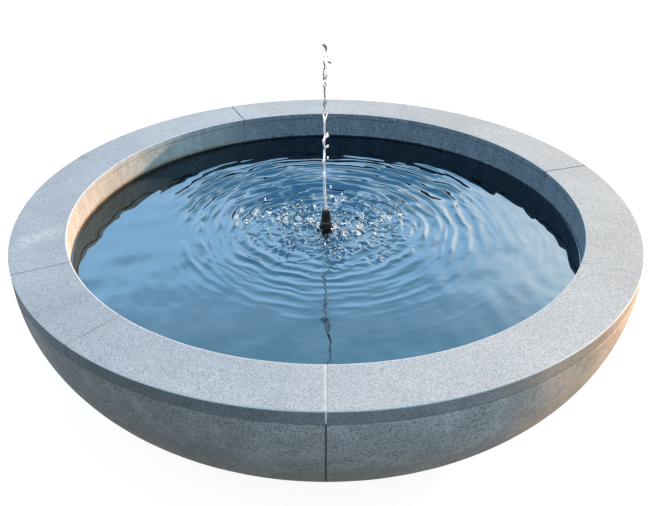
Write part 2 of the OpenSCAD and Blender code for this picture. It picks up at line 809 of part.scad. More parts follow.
// The pool fills the basin and leaves room for what stands in it
module pool_water() {
    water() difference() {
        union() {
            rotate_extrude($fn = 192) intersection() {
                basin_void(-fit);
                translate([0, floor_z + fit]) square([wall_r, water_z - floor_z - fit]);
            }
            ripples();
        }
        at_pump() {
            translate([strainer_x - 1, -rotor_off - pump_w / 2 - 1, -over])
                cube([casing_x + casing_l + 13 - strainer_x + 1, pump_w + 2, foot_h + pump_h + over + 1]);
            cylinder(r = riser_r + 6, h = basin_h);
            translate([0, -rotor_off - 4, valve_z]) rotate([-90, 0, 0]) cylinder(r = 17, h = valve_out + rotor_off + 16);
        }
        translate([0, drain_y, 0]) cylinder(d = plug_head_d + 2, h = floor_z + 40);
        translate([0, gland_y, 0]) cylinder(r = gland_hex * 1.15 + 1, h = floor_z + 34);
    }
}

// The jet leaves the bore smooth, then twists and swells into beads as it rises
jet_from = tip_z + floor_z - 4;
jet_to = basin_h + jet_h;
jet_rings = 72;
jet_sides = 10;
function jet_z(t) = jet_from + (jet_to - jet_from) * t;
function jet_grow(t) = max(0, t - 0.28) / 0.72;
function jet_mid(t) = [5 * jet_grow(t) * sin(1150 * t), 3 * jet_grow(t) * cos(1310 * t)];
function jet_r(t) = t > 0.985 ? 3.2 : (jet_bore_d / 2 - 0.3) * (1 - 0.12 * t + (0.12 + 0.5 * jet_grow(t)) * sin(5200 * t) * jet_grow(t));

module water_jet() {
    ring = [for (i = [0:jet_rings]) i / jet_rings];
    n = jet_sides;
    points = [for (t = ring, k = [0:n - 1]) let (a = k * 360 / n, m = jet_mid(t))
        [m[0] + jet_r(t) * cos(a), nozzle_y + m[1] + jet_r(t) * sin(a), jet_z(t)]];
    sides = [for (i = [0:jet_rings - 1], k = [0:n - 1]) let (a = i * n + k, b = i * n + (k + 1) % n)
        each [[a, a + n, b], [b, a + n, b + n]]];
    ends = [[for (k = [0:n - 1]) k], [for (k = [n - 1:-1:0]) jet_rings * n + k]];
    water() polyhedron(points = points, faces = concat(sides, ends));
}

coping_stone(0);  // coping_stone_1
coping_stone(1);  // coping_stone_2
coping_stone(2);  // coping_stone_3
coping_stone(3);  // coping_stone_4
coping_stone(4);  // coping_stone_5
coping_stone(5);  // coping_stone_6
coping_stone(6);  // coping_stone_7
coping_stone(7);  // coping_stone_8
coping_pointing();
coping_bed();
coping_dowels();
bowl_stone(0);  // bowl_stone_1
bowl_stone(1);  // bowl_stone_2
bowl_stone(2);  // bowl_stone_3
bowl_stone(3);  // bowl_stone_4
bowl_joint_seals();
tie_cramps();
base_stone();
bowl_bed();
floor_seal();
drain_body();
drain_gasket();
drain_locknut();
drain_plug();
plug_seal();
gland_body();
gland_seal();
gland_dome_nut();
gland_locknut();
pump_casing();
pump_volute();
volute_gasket();
volute_screws();
pump_feet();
rotor_shaft();
shaft_bushes();
rotor_magnet();
impeller();
strainer_cover();
strainer_foam();
outlet_adapter();
flow_plug();
flow_dial();
riser_pipe();
riser_lock_nut();
telescopic_tube();
ball_socket();
ball_collar_nut();
ball_seal();
nozzle();
pool_water();
water_jet();
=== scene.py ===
# Stone garden fountain: a round granite water bowl with a submersible pump, a riser and one vertical jet.
# Metres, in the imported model's frame: the ground is z 0, the bowl's centre is x 0 y 0 and -Y is the front.
import json
import math

import bmesh
import bpy
import numpy as np
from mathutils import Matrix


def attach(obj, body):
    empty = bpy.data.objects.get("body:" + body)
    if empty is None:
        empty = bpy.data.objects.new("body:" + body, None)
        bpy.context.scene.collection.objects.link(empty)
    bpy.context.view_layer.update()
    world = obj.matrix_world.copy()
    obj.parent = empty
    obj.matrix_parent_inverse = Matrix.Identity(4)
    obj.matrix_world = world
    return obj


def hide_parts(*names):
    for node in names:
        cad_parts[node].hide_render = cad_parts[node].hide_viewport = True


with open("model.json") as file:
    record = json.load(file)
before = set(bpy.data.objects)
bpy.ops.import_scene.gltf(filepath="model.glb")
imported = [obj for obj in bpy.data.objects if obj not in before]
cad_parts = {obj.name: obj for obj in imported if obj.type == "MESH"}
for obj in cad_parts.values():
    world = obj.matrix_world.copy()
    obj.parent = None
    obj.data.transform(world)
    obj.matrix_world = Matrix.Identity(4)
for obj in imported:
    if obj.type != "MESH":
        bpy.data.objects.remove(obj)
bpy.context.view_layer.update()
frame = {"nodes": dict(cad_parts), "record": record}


# The view: somebody standing a step away from the near edge and looking down into the bowl.
# The far rim shows its inner wall, and the near rim its drop edge and the belly under it.
def put(name, data):
    """A new object in the scene."""
    made = bpy.data.objects.new(name, data)
    bpy.context.scene.collection.objects.link(made)
    return made


eye = bpy.data.cameras.new("view")
eye.sensor_width = 36.0
eye.lens = 44.86
view = put("view", eye)
view.location = (0.0, -2.381, 1.747)
view.rotation_euler = (math.radians(59.0), 0.0, 0.0015)
bpy.context.scene.camera = view
bpy.context.scene.view_settings.view_transform = "Standard"


# The sky over the garden: pale near the horizon, bluer overhead, and brighter towards the low evening sun.
# What is looked at directly stays plain white, and stone gets an even soft light from all round.
def join(node, sockets):
    """Fills inputs of a node with values or with other nodes' outputs."""
    for name, value in sockets.items():
        if isinstance(value, bpy.types.NodeSocket):
            node.id_data.links.new(value, node.inputs[name])
        else:
            node.inputs[name].default_value = value


def add(tree, kind, sockets=None, **settings):
    """A new node of a tree, with its settings and its inputs."""
    made = tree.nodes.new(kind)
    for name, value in settings.items():
        setattr(made, name, value)
    join(made, sockets or {})
    return made


def home(*values):
    """The node tree of the nodes' outputs that are among some values."""
    return next(value.id_data for value in values if isinstance(value, bpy.types.NodeSocket))


def calc(operation, *values):
    """One sum on one, two or three numbers."""
    return add(home(*values), "ShaderNodeMath", dict(enumerate(values)), operation=operation).outputs[0]


def fade(value, low, high, at_low=0.0, at_high=1.0):
    """A number that eases from at_low to at_high while value goes from low to high."""
    sockets = {"Value": value, "From Min": low, "From Max": high, "To Min": at_low, "To Max": at_high}
    return add(value.id_data, "ShaderNodeMapRange", sockets, interpolation_type="SMOOTHSTEP").outputs[0]


def blended(amount, under, over, way="MIX"):
    """Two colours mixed by an amount from 0 to 1. Each is three numbers or another node's output."""
    tree = home(amount, under, over)
    under, over = ((*colour, 1.0) if isinstance(colour, tuple) else colour for colour in (under, over))
    sockets = {0: amount, 6: under, 7: over}
    return add(tree, "ShaderNodeMix", sockets, data_type="RGBA", blend_type=way).outputs[2]


def steps(value, *colours):
    """A run of colours, each given with its place from 0 to 1."""
    made = add(value.id_data, "ShaderNodeValToRGB", {"Fac": value})
    run = made.color_ramp.elements
    while len(run) < len(colours):
        run.new(0.5)
    for part, (place, colour) in zip(run, colours):
        part.position = place
        part.color = (*colour, 1.0)
    return made.outputs[0]


def mixed(amount, first, second):
    """Two shaders mixed by an amount from 0 to 1."""
    return add(first.id_data, "ShaderNodeMixShader", {0: amount, 1: first.outputs[0], 2: second.outputs[0]})


def emptied(data):
    """The node tree of a material or a world, with nothing in it."""
    data.use_nodes = True
    data.node_tree.nodes.clear()
    return data.node_tree


sun_bearing = math.radians(41.0)
sun_height = math.radians(10.0)
to_sun = (
    math.cos(sun_bearing) * math.cos(sun_height),
    math.sin(sun_bearing) * math.cos(sun_height),
    math.sin(sun_height),
)
sky = bpy.data.worlds.new("sky")
air = emptied(sky)
way = add(air, "ShaderNodeTexCoord").outputs["Generated"]
up = add(air, "ShaderNodeSeparateXYZ", {0: way}).outputs["Z"]
sunward = add(air, "ShaderNodeVectorMath", {0: way, 1: to_sun}, operation="DOT_PRODUCT").outputs["Value"]
glow = calc("MULTIPLY", fade(sunward, 0.71, 0.91), fade(up, 0.48, 0.60, 1.0, 0.3))
mirrored = steps(
    up,
    (0.0, (0.85, 0.90, 0.95)),
    (0.36, (0.80, 0.91, 1.02)),
    (0.45, (0.58, 0.80, 1.00)),
    (0.52, (0.53, 0.73, 0.87)),
    (0.56, (0.37, 0.53, 0.64)),
    (0.62, (0.27, 0.43, 0.50)),
    (0.80, (0.12, 0.28, 0.42)),
    (1.0, (0.08, 0.22, 0.38)),
)
mirrored = blended(glow, mirrored, (1.7, 1.35, 1.08))
seen = add(air, "ShaderNodeBackground", {"Color": (1, 1, 1, 1), "Strength": 1.0})
reflected = add(air, "ShaderNodeBackground", {"Color": mirrored, "Strength": 4.0})
lit = steps(up, (0.0, (0.42, 0.54, 0.66)), (0.35, (0.55, 0.72, 0.88)), (1.0, (0.74, 0.95, 1.0)))
lighting = add(air, "ShaderNodeBackground", {"Color": lit, "Strength": 1.0})
rays = add(air, "ShaderNodeLightPath")
direct = calc("MAXIMUM", rays.outputs["Is Camera Ray"], rays.outputs["Is Transmission Ray"])
inner = mixed(rays.outputs["Is Glossy Ray"], lighting, reflected)
outer = mixed(direct, inner, seen)
add(air, "ShaderNodeOutputWorld", {"Surface": outer.outputs[0]})
bpy.context.scene.world = sky

evening = bpy.data.lights.new("evening_sun", "SUN")
evening.energy = 7.0
evening.color = (1.0, 0.66, 0.43)
evening.angle = math.radians(2.5)
sun = put("evening_sun", evening)
sun.rotation_euler = (math.pi / 2 - sun_height, 0.0, sun_bearing + math.pi / 2)

# The ground the bowl stands on, which isn't part of it: a pale level floor, with a painted soft shadow at the
# foot where its white shine fades under the base.
ground = bpy.data.meshes.new("ground")
ground.from_pydata([(-9, -9, 0), (9, -9, 0), (9, 9, 0), (-9, 9, 0)], [], [(0, 1, 2, 3)])
pale = bpy.data.materials.new("pale_ground")
tree = emptied(pale)
dull = add(tree, "ShaderNodeBsdfDiffuse", {"Color": (0.28, 0.28, 0.28, 1)})
bright = add(tree, "ShaderNodeBsdfDiffuse", {"Color": (0.26, 0.26, 0.26, 1)})
place = add(tree, "ShaderNodeTexCoord").outputs["Object"]
out = add(tree, "ShaderNodeVectorMath", {0: place}, operation="LENGTH").outputs["Value"]
# Painted shadow: the floor's white shine fades to dark under the base
floor_shine_with_painted_shadow = fade(out, 0.60, 0.725, 0.02, 0.90)
shine = add(tree, "ShaderNodeEmission", {"Color": (1, 1, 1, 1), "Strength": floor_shine_with_painted_shadow})
shown = add(tree, "ShaderNodeAddShader", {0: bright.outputs[0], 1: shine.outputs[0]})
rays = add(tree, "ShaderNodeLightPath")
looked_at = calc("MAXIMUM", rays.outputs["Is Camera Ray"], rays.outputs["Is Transmission Ray"])
looked_at = calc("MAXIMUM", looked_at, rays.outputs["Is Glossy Ray"])
both = mixed(looked_at, dull, shown)
add(tree, "ShaderNodeOutputMaterial", {"Surface": both.outputs[0]})
ground.materials.append(pale)
floor = put("ground", ground)


# Granite, sawn and lightly honed: crystals of pale feldspar and grey quartz with a little dark mica.
# The base, the bowl and the coping are of the same stone: they differ partly in how they have weathered, and
# partly by painted shade, as the bowl's sides are painted darker than the coping's top.
def new_finish(name, roughness, metallic=0.0, shine=0.5, others=None):
    """A new material, its shader, and the places that its patterns are made from."""
    made = bpy.data.materials.new(name)
    tree = emptied(made)
    sockets = {"Roughness": roughness, "Metallic": metallic, "Specular IOR Level": shine, **(others or {})}
    shader = add(tree, "ShaderNodeBsdfPrincipled", sockets)
    add(tree, "ShaderNodeOutputMaterial", {"Surface": shader.outputs[0]})
    return made, shader, add(tree, "ShaderNodeTexCoord").outputs["Object"]


def relief(shader, height, depth, strength=1.0):
    """A fine surface relief of a given depth in metres."""
    sockets = {"Height": height, "Distance": depth, "Strength": strength}
    bump = add(shader.id_data, "ShaderNodeBump", sockets)
    join(shader, {"Normal": bump.outputs[0]})


def cloud(place, scale, detail=4.0, rough=0.55, stretch=None):
    """A soft noise, from 0 to 1, with its own scale."""
    tree = place.id_data
    if stretch:
        place = add(tree, "ShaderNodeMapping", {"Vector": place, "Scale": stretch}).outputs[0]
    sockets = {"Vector": place, "Scale": scale, "Detail": detail, "Roughness": rough}
    return add(tree, "ShaderNodeTexNoise", sockets).outputs[0]


def scaled(colour, amount):
    """A colour made lighter or darker by a number."""
    grey = add(amount.id_data, "ShaderNodeCombineColor", {0: amount, 1: amount, 2: amount}).outputs[0]
    return blended(1.0, colour, grey, "MULTIPLY")


def crystals(place, size, dark, grey, light):
    """The speckle of the stone: one colour to a crystal, and a finer grain over it."""
    tree = place.id_data
    grain = add(tree, "ShaderNodeTexVoronoi", {"Vector": place, "Scale": 1.0 / size})
    pick = add(tree, "ShaderNodeSeparateColor", {0: grain.outputs["Color"]}).outputs[0]
    base = steps(pick, (0.0, dark), (0.10, dark), (0.16, grey), (0.42, grey), (0.52, light), (1.0, light))
    return scaled(base, fade(cloud(place, 0.9 / size, 2.0), 0.3, 0.7, 0.86, 1.12))


def places(place):
    """How far out a point of the stonework is, how high, and its bearing from -180 to 180 degrees."""
    tree = place.id_data
    parts = add(tree, "ShaderNodeSeparateXYZ", {0: place})
    flat = add(tree, "ShaderNodeCombineXYZ", {0: parts.outputs[0], 1: parts.outputs[1]}).outputs[0]
    out = add(tree, "ShaderNodeVectorMath", {0: flat}, operation="LENGTH").outputs["Value"]
    bearing = calc("ARCTAN2", parts.outputs[1], parts.outputs[0])
    return out, parts.outputs[2], calc("MULTIPLY", bearing, 180.0 / math.pi)


def finish_nodes(material, *names):
    """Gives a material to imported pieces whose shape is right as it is."""
    for name in names:
        frame["nodes"][name].material_slots[0].material = material


def base_granite():
    made, shader, place = new_finish("base_granite", 0.72, shine=0.15)
    stone = crystals(place, 0.0042, (0.08, 0.09, 0.10), (0.22, 0.24, 0.26), (0.36, 0.38, 0.40))
    worn = fade(cloud(place, 7.0, 5.0), 0.35, 0.7, 0.78, 1.1)
    join(shader, {"Base Color": scaled(stone, worn)})
    relief(shader, cloud(place, 330.0, 3.0), 0.0006, 0.7)
    return made


finish_nodes(base_granite(), "base_stone")


# Mortar and sealant: a grey sanded mortar beds the bowl on its base and the coping on the bowl.
# The joints between the bowl stones and round the basin floor are filled with a dark elastic sealant.
def product(*values):
    """Numbers multiplied together."""
    total = values[0]
    for value in values[1:]:
        total = calc("MULTIPLY", total, value)
    return total


def drop_edge(out, high):
    """1 on the upright outer face of the coping, and 0 on its top."""
    return product(fade(out, 0.9966, 0.9986), fade(high, 0.4962, 0.4984, 1.0, 0.0))


def mortar(name, colour, sand=0.25, on_edge=1.0):
    """Sanded mortar, which may have painted shade, darker where it shows on the drop edge of the coping."""
    made, shader, place = new_finish(name, 0.9, shine=0.1)
    out, high, _ = places(place)
    grains = fade(cloud(place, 900.0, 2.0), 0.3, 0.7, 1.0 - sand, 1.0 + sand)
    tone_shift = fade(cloud(place, 14.0), 0.3, 0.75, 0.8, 1.12)
    # Painted shade on the drop edge, to match the stone there
    edge_shade = fade(drop_edge(out, high), 0.0, 1.0, 1.0, on_edge)
    join(shader, {"Base Color": scaled(colour, product(grains, tone_shift, edge_shade))})
    relief(shader, cloud(place, 700.0, 2.0), 0.0005)
    return made


finish_nodes(mortar("bed_mortar", (0.29, 0.31, 0.32)), "bowl_bed", "coping_bed")
joint_sealant = mortar("joint_sealant", (0.055, 0.060, 0.066), 0.12)
stone_sealant = mortar("stone_sealant", (0.19, 0.235, 0.275), 0.12)
finish_nodes(joint_sealant, "floor_seal")

# The bowl: four curved granite stones that meet in radial joints and stand on the base stone.
# Each is a straight length of the bowl's section, bent round the centre between its two joints,
# with eased edges, faces parallel to the joint, and the slight waviness of a surface worked by hand.
bowl_joints = (18.5, 114.0, 205.5, 270.0)
joint_width = 0.004
wall_r = 0.832
wall_top = 0.477
bed_edge_r = 0.937
rim_z = 0.457
belly_r = 0.4547
belly_at = (0.5453, 0.457)
foot_z = 0.060
cove_r = 0.240
cove_at = (0.592, 0.360)
basin_floor = 0.120
bore_r = 0.545


def arc(centre, radius, start, end, count):
    """Points on a circle from one bearing to another, in degrees."""
    turn = [math.radians(start + (end - start) * i / (count - 1)) for i in range(count)]
    return [(centre[0] + radius * math.cos(t), centre[1] + radius * math.sin(t), 0.0) for t in turn]


def unit(way):
    """A direction, or each of a row of them, made one long."""
    return way / np.linalg.norm(way, axis=-1, keepdims=True)


def eased(corners, pitch):
    """A closed section: corners with a radius are rounded in five points, and long runs are divided."""
    beside = 0.004
    points = []
    n = len(corners)
    for i, (x, z, r) in enumerate(corners):
        if r <= 0:
            points.append((x, z, 0.0))
            continue
        here = np.array((x, z))
        back = unit(np.array(corners[i - 1][:2]) - here)
        on = unit(np.array(corners[(i + 1) % n][:2]) - here)
        half = math.acos(np.clip(back @ on, -1, 1)) / 2
        reach = r / math.tan(half)
        middle = here + unit(back + on) * r / math.sin(half)
        first = here + back * reach - middle
        last = here + on * reach - middle
        points.append((*(here + back * (reach + beside)), 0.0))
        for k in range(5):
            side = unit(first * (1 - k / 4) + last * k / 4) * r
            points.append((*(middle + side), math.sin(math.pi * k / 4)))
        points.append((*(here + on * (reach + beside)), 0.0))
    full = []
    for i, point in enumerate(points):
        full.append(point)
        after = points[(i + 1) % len(points)]
        length = math.dist(point[:2], after[:2])
        for k in range(1, int(length / pitch)):
            t = k / int(length / pitch)
            full.append((point[0] + (after[0] - point[0]) * t, point[1] + (after[1] - point[1]) * t, 0.0))
    return full


def straight_length(section, stations, ease):
    """A closed straight bar of a section, with its two ends eased, ready to be bent round the bowl."""
    flat = np.array([point[:2] for point in section])
    along = unit(unit(flat - np.roll(flat, 1, axis=0)) + unit(np.roll(flat, -1, axis=0) - flat))
    outward = np.stack([along[:, 1], -along[:, 0]], axis=1)
    area = np.sum(flat[:, 0] * np.roll(flat[:, 1], -1) - np.roll(flat[:, 0], -1) * flat[:, 1])
    if area < 0:
        outward = -outward
    hold = ease + (0.004 if stations > 1 else 0.001)
    rows = [(0.0, 0.0, ease), (0.0, ease * 0.35, ease * 0.35), (0.0, ease, 0.0), (0.0, hold, 0.0)]
    rows += [((i + 1) / stations, 0.0, 0.0) for i in range(stations - 1)]
    rows += [(1.0, -hold, 0.0), (1.0, -ease, 0.0), (1.0, -ease * 0.35, ease * 0.35), (1.0, 0.0, ease)]
    verts = []
    offset = []
    edge = []
    for share, shift, inset in rows:
        for (x, z), (dx, dz), (_, _, e) in zip(flat, outward, section):
            verts.append((x - dx * inset, share, z - dz * inset))
            offset.append(shift)
            edge.append(max(e, 1.0 if inset else 0.0))
    n = len(flat)
    faces = []
    for i in range(len(rows) - 1):
        for k in range(n):
            a, b = i * n + k, i * n + (k + 1) % n
            faces.append((a, b, b + n, a + n))
    faces.append(tuple(range(n))[::-1])
    faces.append(tuple(range((len(rows) - 1) * n, len(rows) * n)))
    if area > 0:
        faces = [face[::-1] for face in faces]
    mesh = bpy.data.meshes.new("bar")
    mesh.from_pydata(verts, [], faces)
    mesh.attributes.new("offset", "FLOAT", "POINT").data.foreach_set("value", offset)
    mesh.attributes.new("edge", "FLOAT", "POINT").data.foreach_set("value", edge)
    return mesh


def new_tree(name, result, *inputs):
    """An empty Geometry Nodes tree with one output, and inputs given as (name, kind)."""
    tree = bpy.data.node_groups.new(name, "GeometryNodeTree")
    for label, kind in inputs:
        tree.interface.new_socket(label, in_out="INPUT", socket_type=f"NodeSocket{kind}")
    tree.interface.new_socket(result, in_out="OUTPUT", socket_type="NodeSocketGeometry")
    return tree, add(tree, "NodeGroupInput").outputs


def attribute(tree, name):
    """A number that each point of the mesh brings with it."""
    return add(tree, "GeometryNodeInputNamedAttribute", {"Name": name}, data_type="FLOAT").outputs[0]


def ended(tree, shape, material):
    """The end of a tree: its shape is shaded smooth, made real and given a material."""
    smooth = add(tree, "GeometryNodeSetShadeSmooth", {"Geometry": shape.outputs[0]})
    whole = add(tree, "GeometryNodeRealizeInstances", {"Geometry": smooth.outputs[0]})
    last = add(tree, "GeometryNodeSetMaterial", {"Geometry": whole.outputs[0], "Material": material})
    add(tree, "NodeGroupOutput", {0: last.outputs[0]})
    return tree


def bending_tree():
    """Bends a straight bar round the upright axis between two joints, and gives it relief and small chips."""
    numbers = [(name, "Float") for name in ("First Joint", "Last Joint", "Half Joint", "Waviness", "Chips")]
    tree, given = new_tree("bend_round_bowl", "Piece", ("Bar", "Geometry"), *numbers, ("Stone", "Material"))
    spot = add(tree, "ShaderNodeSeparateXYZ", {0: add(tree, "GeometryNodeInputPosition").outputs[0]})
    out, share, high = spot.outputs
    half = calc("ARCSINE", calc("DIVIDE", given["Half Joint"], out))
    start = calc("ADD", given["First Joint"], half)
    end = calc("SUBTRACT", given["Last Joint"], half)
    turn = calc("MULTIPLY_ADD", calc("SUBTRACT", end, start), share, start)
    turn = calc("ADD", turn, calc("DIVIDE", attribute(tree, "offset"), out))
    x = calc("MULTIPLY", out, calc("COSINE", turn))
    y = calc("MULTIPLY", out, calc("SINE", turn))
    bent = add(tree, "ShaderNodeCombineXYZ", {0: x, 1: y, 2: high}).outputs[0]
    bend = add(tree, "GeometryNodeSetPosition", {"Geometry": given["Bar"], "Position": bent})
    spot = add(tree, "GeometryNodeInputPosition").outputs[0]
    wave = calc("SUBTRACT", cloud(spot, 9.0, 2.0), 0.5)
    wave = calc("MULTIPLY", wave, given["Waviness"])
    chip = fade(cloud(spot, 26.0, 4.0, 0.7), 0.60, 0.72)
    chip = product(chip, attribute(tree, "edge"), given["Chips"])
    push = {0: add(tree, "GeometryNodeInputNormal").outputs[0], "Scale": calc("SUBTRACT", wave, chip)}
    move = add(tree, "ShaderNodeVectorMath", push, operation="SCALE").outputs[0]
    worked = add(tree, "GeometryNodeSetPosition", {"Geometry": bend.outputs[0], "Offset": move})
    return ended(tree, worked, given["Stone"])


def made_plain(source, tree, **inputs):
    """The result of a tree on a mesh, as an ordinary mesh of its own."""
    worker = put("worker", source)
    modifier = worker.modifiers.new("make", "NODES")
    modifier.node_group = tree
    for item in tree.interface.items_tree:
        label = item.name.replace(" ", "_").lower()
        if item.in_out == "INPUT" and label in inputs:
            modifier[item.identifier] = inputs[label]
    bpy.context.view_layer.update()
    graph = bpy.context.evaluated_depsgraph_get()
    mesh = bpy.data.meshes.new_from_object(worker.evaluated_get(graph), depsgraph=graph)
    bpy.data.objects.remove(worker)
    return mesh


def bent_bar(bar, first, last, half_joint, waviness, chips, stone):
    """A straight bar bent round the bowl between two bearings in degrees."""
    joints = {"first_joint": math.radians(first), "last_joint": math.radians(last), "half_joint": half_joint}
    return made_plain(bar, bend, waviness=waviness, chips=chips, stone=stone, **joints)


def laid_stones(section, joints, step, ease, waviness, stone):
    """A stone for each gap between two joints, one after another, with a station at each step in radians."""
    ends = (*joints, joints[0] + 360.0)
    for first, last in zip(ends, ends[1:]):
        bar = straight_length(section, int((last - first) * math.pi / 180 / step), ease)
        yield bent_bar(bar, first, last, joint_width / 2, waviness, chip_depth, stone)


def piece(name, mesh, body, slot, *nodes):
    """Puts a finished mesh in the scene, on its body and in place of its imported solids."""
    mesh.name = name
    made = put(name, mesh)
    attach(made, body)
    if nodes:
        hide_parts(*nodes)


def turned_from(bearing, centre):
    """How many degrees a bearing is from another one, either way round."""
    return calc("ABSOLUTE", calc("WRAP", calc("SUBTRACT", bearing, centre), 180.0, -180.0))


def inner_wall(place, bearing):
    """The wall round the water: painted shade, cool and dark, away from the evening sun, and a pale limed
    colour on the side it reaches, partly lime and partly painted sunlight.
    """
    # Painted shade: the dark wall colour away from the sun
    painted_shade_wall = crystals(place, 0.0042, (0.085, 0.122, 0.158), (0.160, 0.215, 0.265), (0.225, 0.295, 0.350))
    limed_and_sunlit = crystals(place, 0.0036, (0.34, 0.34, 0.305), (0.455, 0.455, 0.42), (0.53, 0.525, 0.49))
    green = crystals(place, 0.0036, (0.33, 0.40, 0.395), (0.43, 0.51, 0.495), (0.51, 0.59, 0.57))
    # How far round from the sunlit side: the pale limed colour with painted sunlight near it, greener further
    # on, painted shade beyond
    turn = calc("MULTIPLY_ADD", cloud(place, 6.0), 14.0, turned_from(bearing, 178.0))
    sunlit_limed_side = fade(turn, 44.0, 84.0, 1.0, 0.0)
    limed_and_sunlit = blended(fade(turn, 24.0, 44.0), limed_and_sunlit, green)
    streak = fade(cloud(place, 30.0, 4.0, 0.6, (1.0, 1.0, 0.25)), 0.35, 0.7, 0.90, 1.10)
    return scaled(blended(sunlit_limed_side, painted_shade_wall, limed_and_sunlit), streak), sunlit_limed_side


def sides_with_painted_sun(place, stone, bearing, tone_shift, painted_sun_from, painted_sun_tint):
    """The outside by bearing: darker at the front left, and painted sunlight, warm and pale, where the
    evening sun reaches.
    """
    # Darker towards the front left
    darker_front_left = fade(turned_from(bearing, -150.0), 26.0, 80.0, 1.0, 0.0)
    stone = blended(darker_front_left, stone, tone_shift, "MULTIPLY")
    # Painted sunlight: a warm pale colour on the side the evening sun reaches, with a ragged edge
    ragged = cloud(place, 5.0, 6.0, 0.65)
    ragged = calc("MULTIPLY_ADD", ragged, 22.0, calc("SUBTRACT", bearing, 11.0))
    painted_sun_side = product(fade(ragged, *painted_sun_from), fade(bearing, 60.0, 130.0, 1.0, 0.0))
    grain = crystals(place, 0.0034, (0.76, 0.76, 0.76), (0.99, 0.99, 0.99), (1.14, 1.14, 1.14))
    stain = fade(cloud(place, 9.0, 8.0, 0.72, (1.0, 1.0, 1.6)), 0.42, 0.72, 1.03, 0.76)
    painted_sunlight = blended(fade(bearing, -34.0, 4.0), painted_sun_tint, (0.47, 0.445, 0.415))
    painted_sunlight = blended(1.0, painted_sunlight, scaled(grain, stain), "MULTIPLY")
    return blended(painted_sun_side, stone, painted_sunlight)


def bowl_granite():
    """Grey outside, with painted shade making it darker and a little warm near the ground; inside, a thin wet
    band at the water line.
    """
    made, shader, place = new_finish("bowl_granite", 0.7, shine=0.15)
    out, high, bearing = places(place)
    # Painted shade: the outside is given a darker grey than the coping's top
    stone = crystals(place, 0.0034, (0.20, 0.225, 0.24), (0.33, 0.355, 0.37), (0.45, 0.47, 0.48))
    stone = scaled(stone, fade(cloud(place, 11.0, 6.0, 0.6), 0.42, 0.68, 0.86, 1.16))
    brown = fade(cloud(place, 8.0, 6.0, 0.65), 0.5, 0.75, 0.0, 0.45)
    stone = blended(brown, stone, (0.95, 0.84, 0.76), "MULTIPLY")
    # The tint of the darker front left, and the painted sunlight on the right
    tone_shift, painted_sun_tint = (0.64, 0.605, 0.59), (0.86, 0.63, 0.465)
    stone = sides_with_painted_sun(place, stone, bearing, tone_shift, (-67.0, -50.0), painted_sun_tint)
    # Painted shade: darker and a little warm towards the ground, under the belly
    stone = blended(fade(high, 0.15, 0.40, 1.0, 0.0), stone, (0.66, 0.59, 0.52), "MULTIPLY")
    inside = product(fade(out, 0.8345, 0.836, 1.0, 0.0), fade(high, 0.13, 0.14))
    wall, sunlit_limed_side = inner_wall(place, bearing)
    # Heights above a ragged line that the ripples keep wet
    above = calc("MULTIPLY_ADD", cloud(place, 60.0, 3.0), 0.006, 0.4005)
    above = calc("SUBTRACT", high, above)
    # A golden-brown band just above the wet line, only on the limed side that the sun reaches
    golden_band = product(fade(above, 0.002, 0.016, 0.8, 0.0), sunlit_limed_side)
    wall = blended(golden_band, wall, (0.27, 0.17, 0.075))
    wet = fade(above, -0.001, 0.002, 1.0, 0.0)
    wall = blended(wet, wall, (0.10, 0.12, 0.14), "MULTIPLY")
    join(shader, {"Base Color": blended(inside, stone, wall)})
    join(shader, {"Roughness": fade(product(wet, inside), 0.0, 1.0, 0.72, 0.22)})
    relief(shader, cloud(place, 260.0, 4.0, 0.6), 0.0008, 0.7)
    return made


bowl_section = [(wall_r, wall_top, 0.001), (bed_edge_r, wall_top, 0.001), (bed_edge_r, rim_z, 0.0)]
bowl_section += [(1.0, rim_z, 0.0025)]
bowl_section += arc(belly_at, belly_r, -1.2, -59.8, 44)
bowl_section += [(0.767, foot_z, 0.0), (bore_r, foot_z, 0.0), (bore_r, basin_floor, 0.001)]
bowl_section += arc(cove_at, cove_r, -90.0, 0.0, 22)
bend = bending_tree()
chip_depth = 0.0010
stones = laid_stones(eased(bowl_section, 0.014), bowl_joints, 0.009, 0.0006, 0.0012, bowl_granite())
for number, stone in enumerate(stones, 1):
    piece(f"bowl_{number}", stone, "basin", "bowl_granite", f"bowl_stone_{number}")

# The coping: eight sawn granite slabs of unequal length, laid in mortar on the bowl and pinned with dowels.
# Each has a drop edge that covers the bed joint, softly worn arrises, and its own chips.
coping_joints = (18.5, 70.0, 114.0, 156.0, 205.5, 229.0, 270.0, 334.5)
coping_top = 0.500
slab_under = 0.480
drop_under = 0.460
drop_inner_r = 0.940
coping_inner_r = 0.830


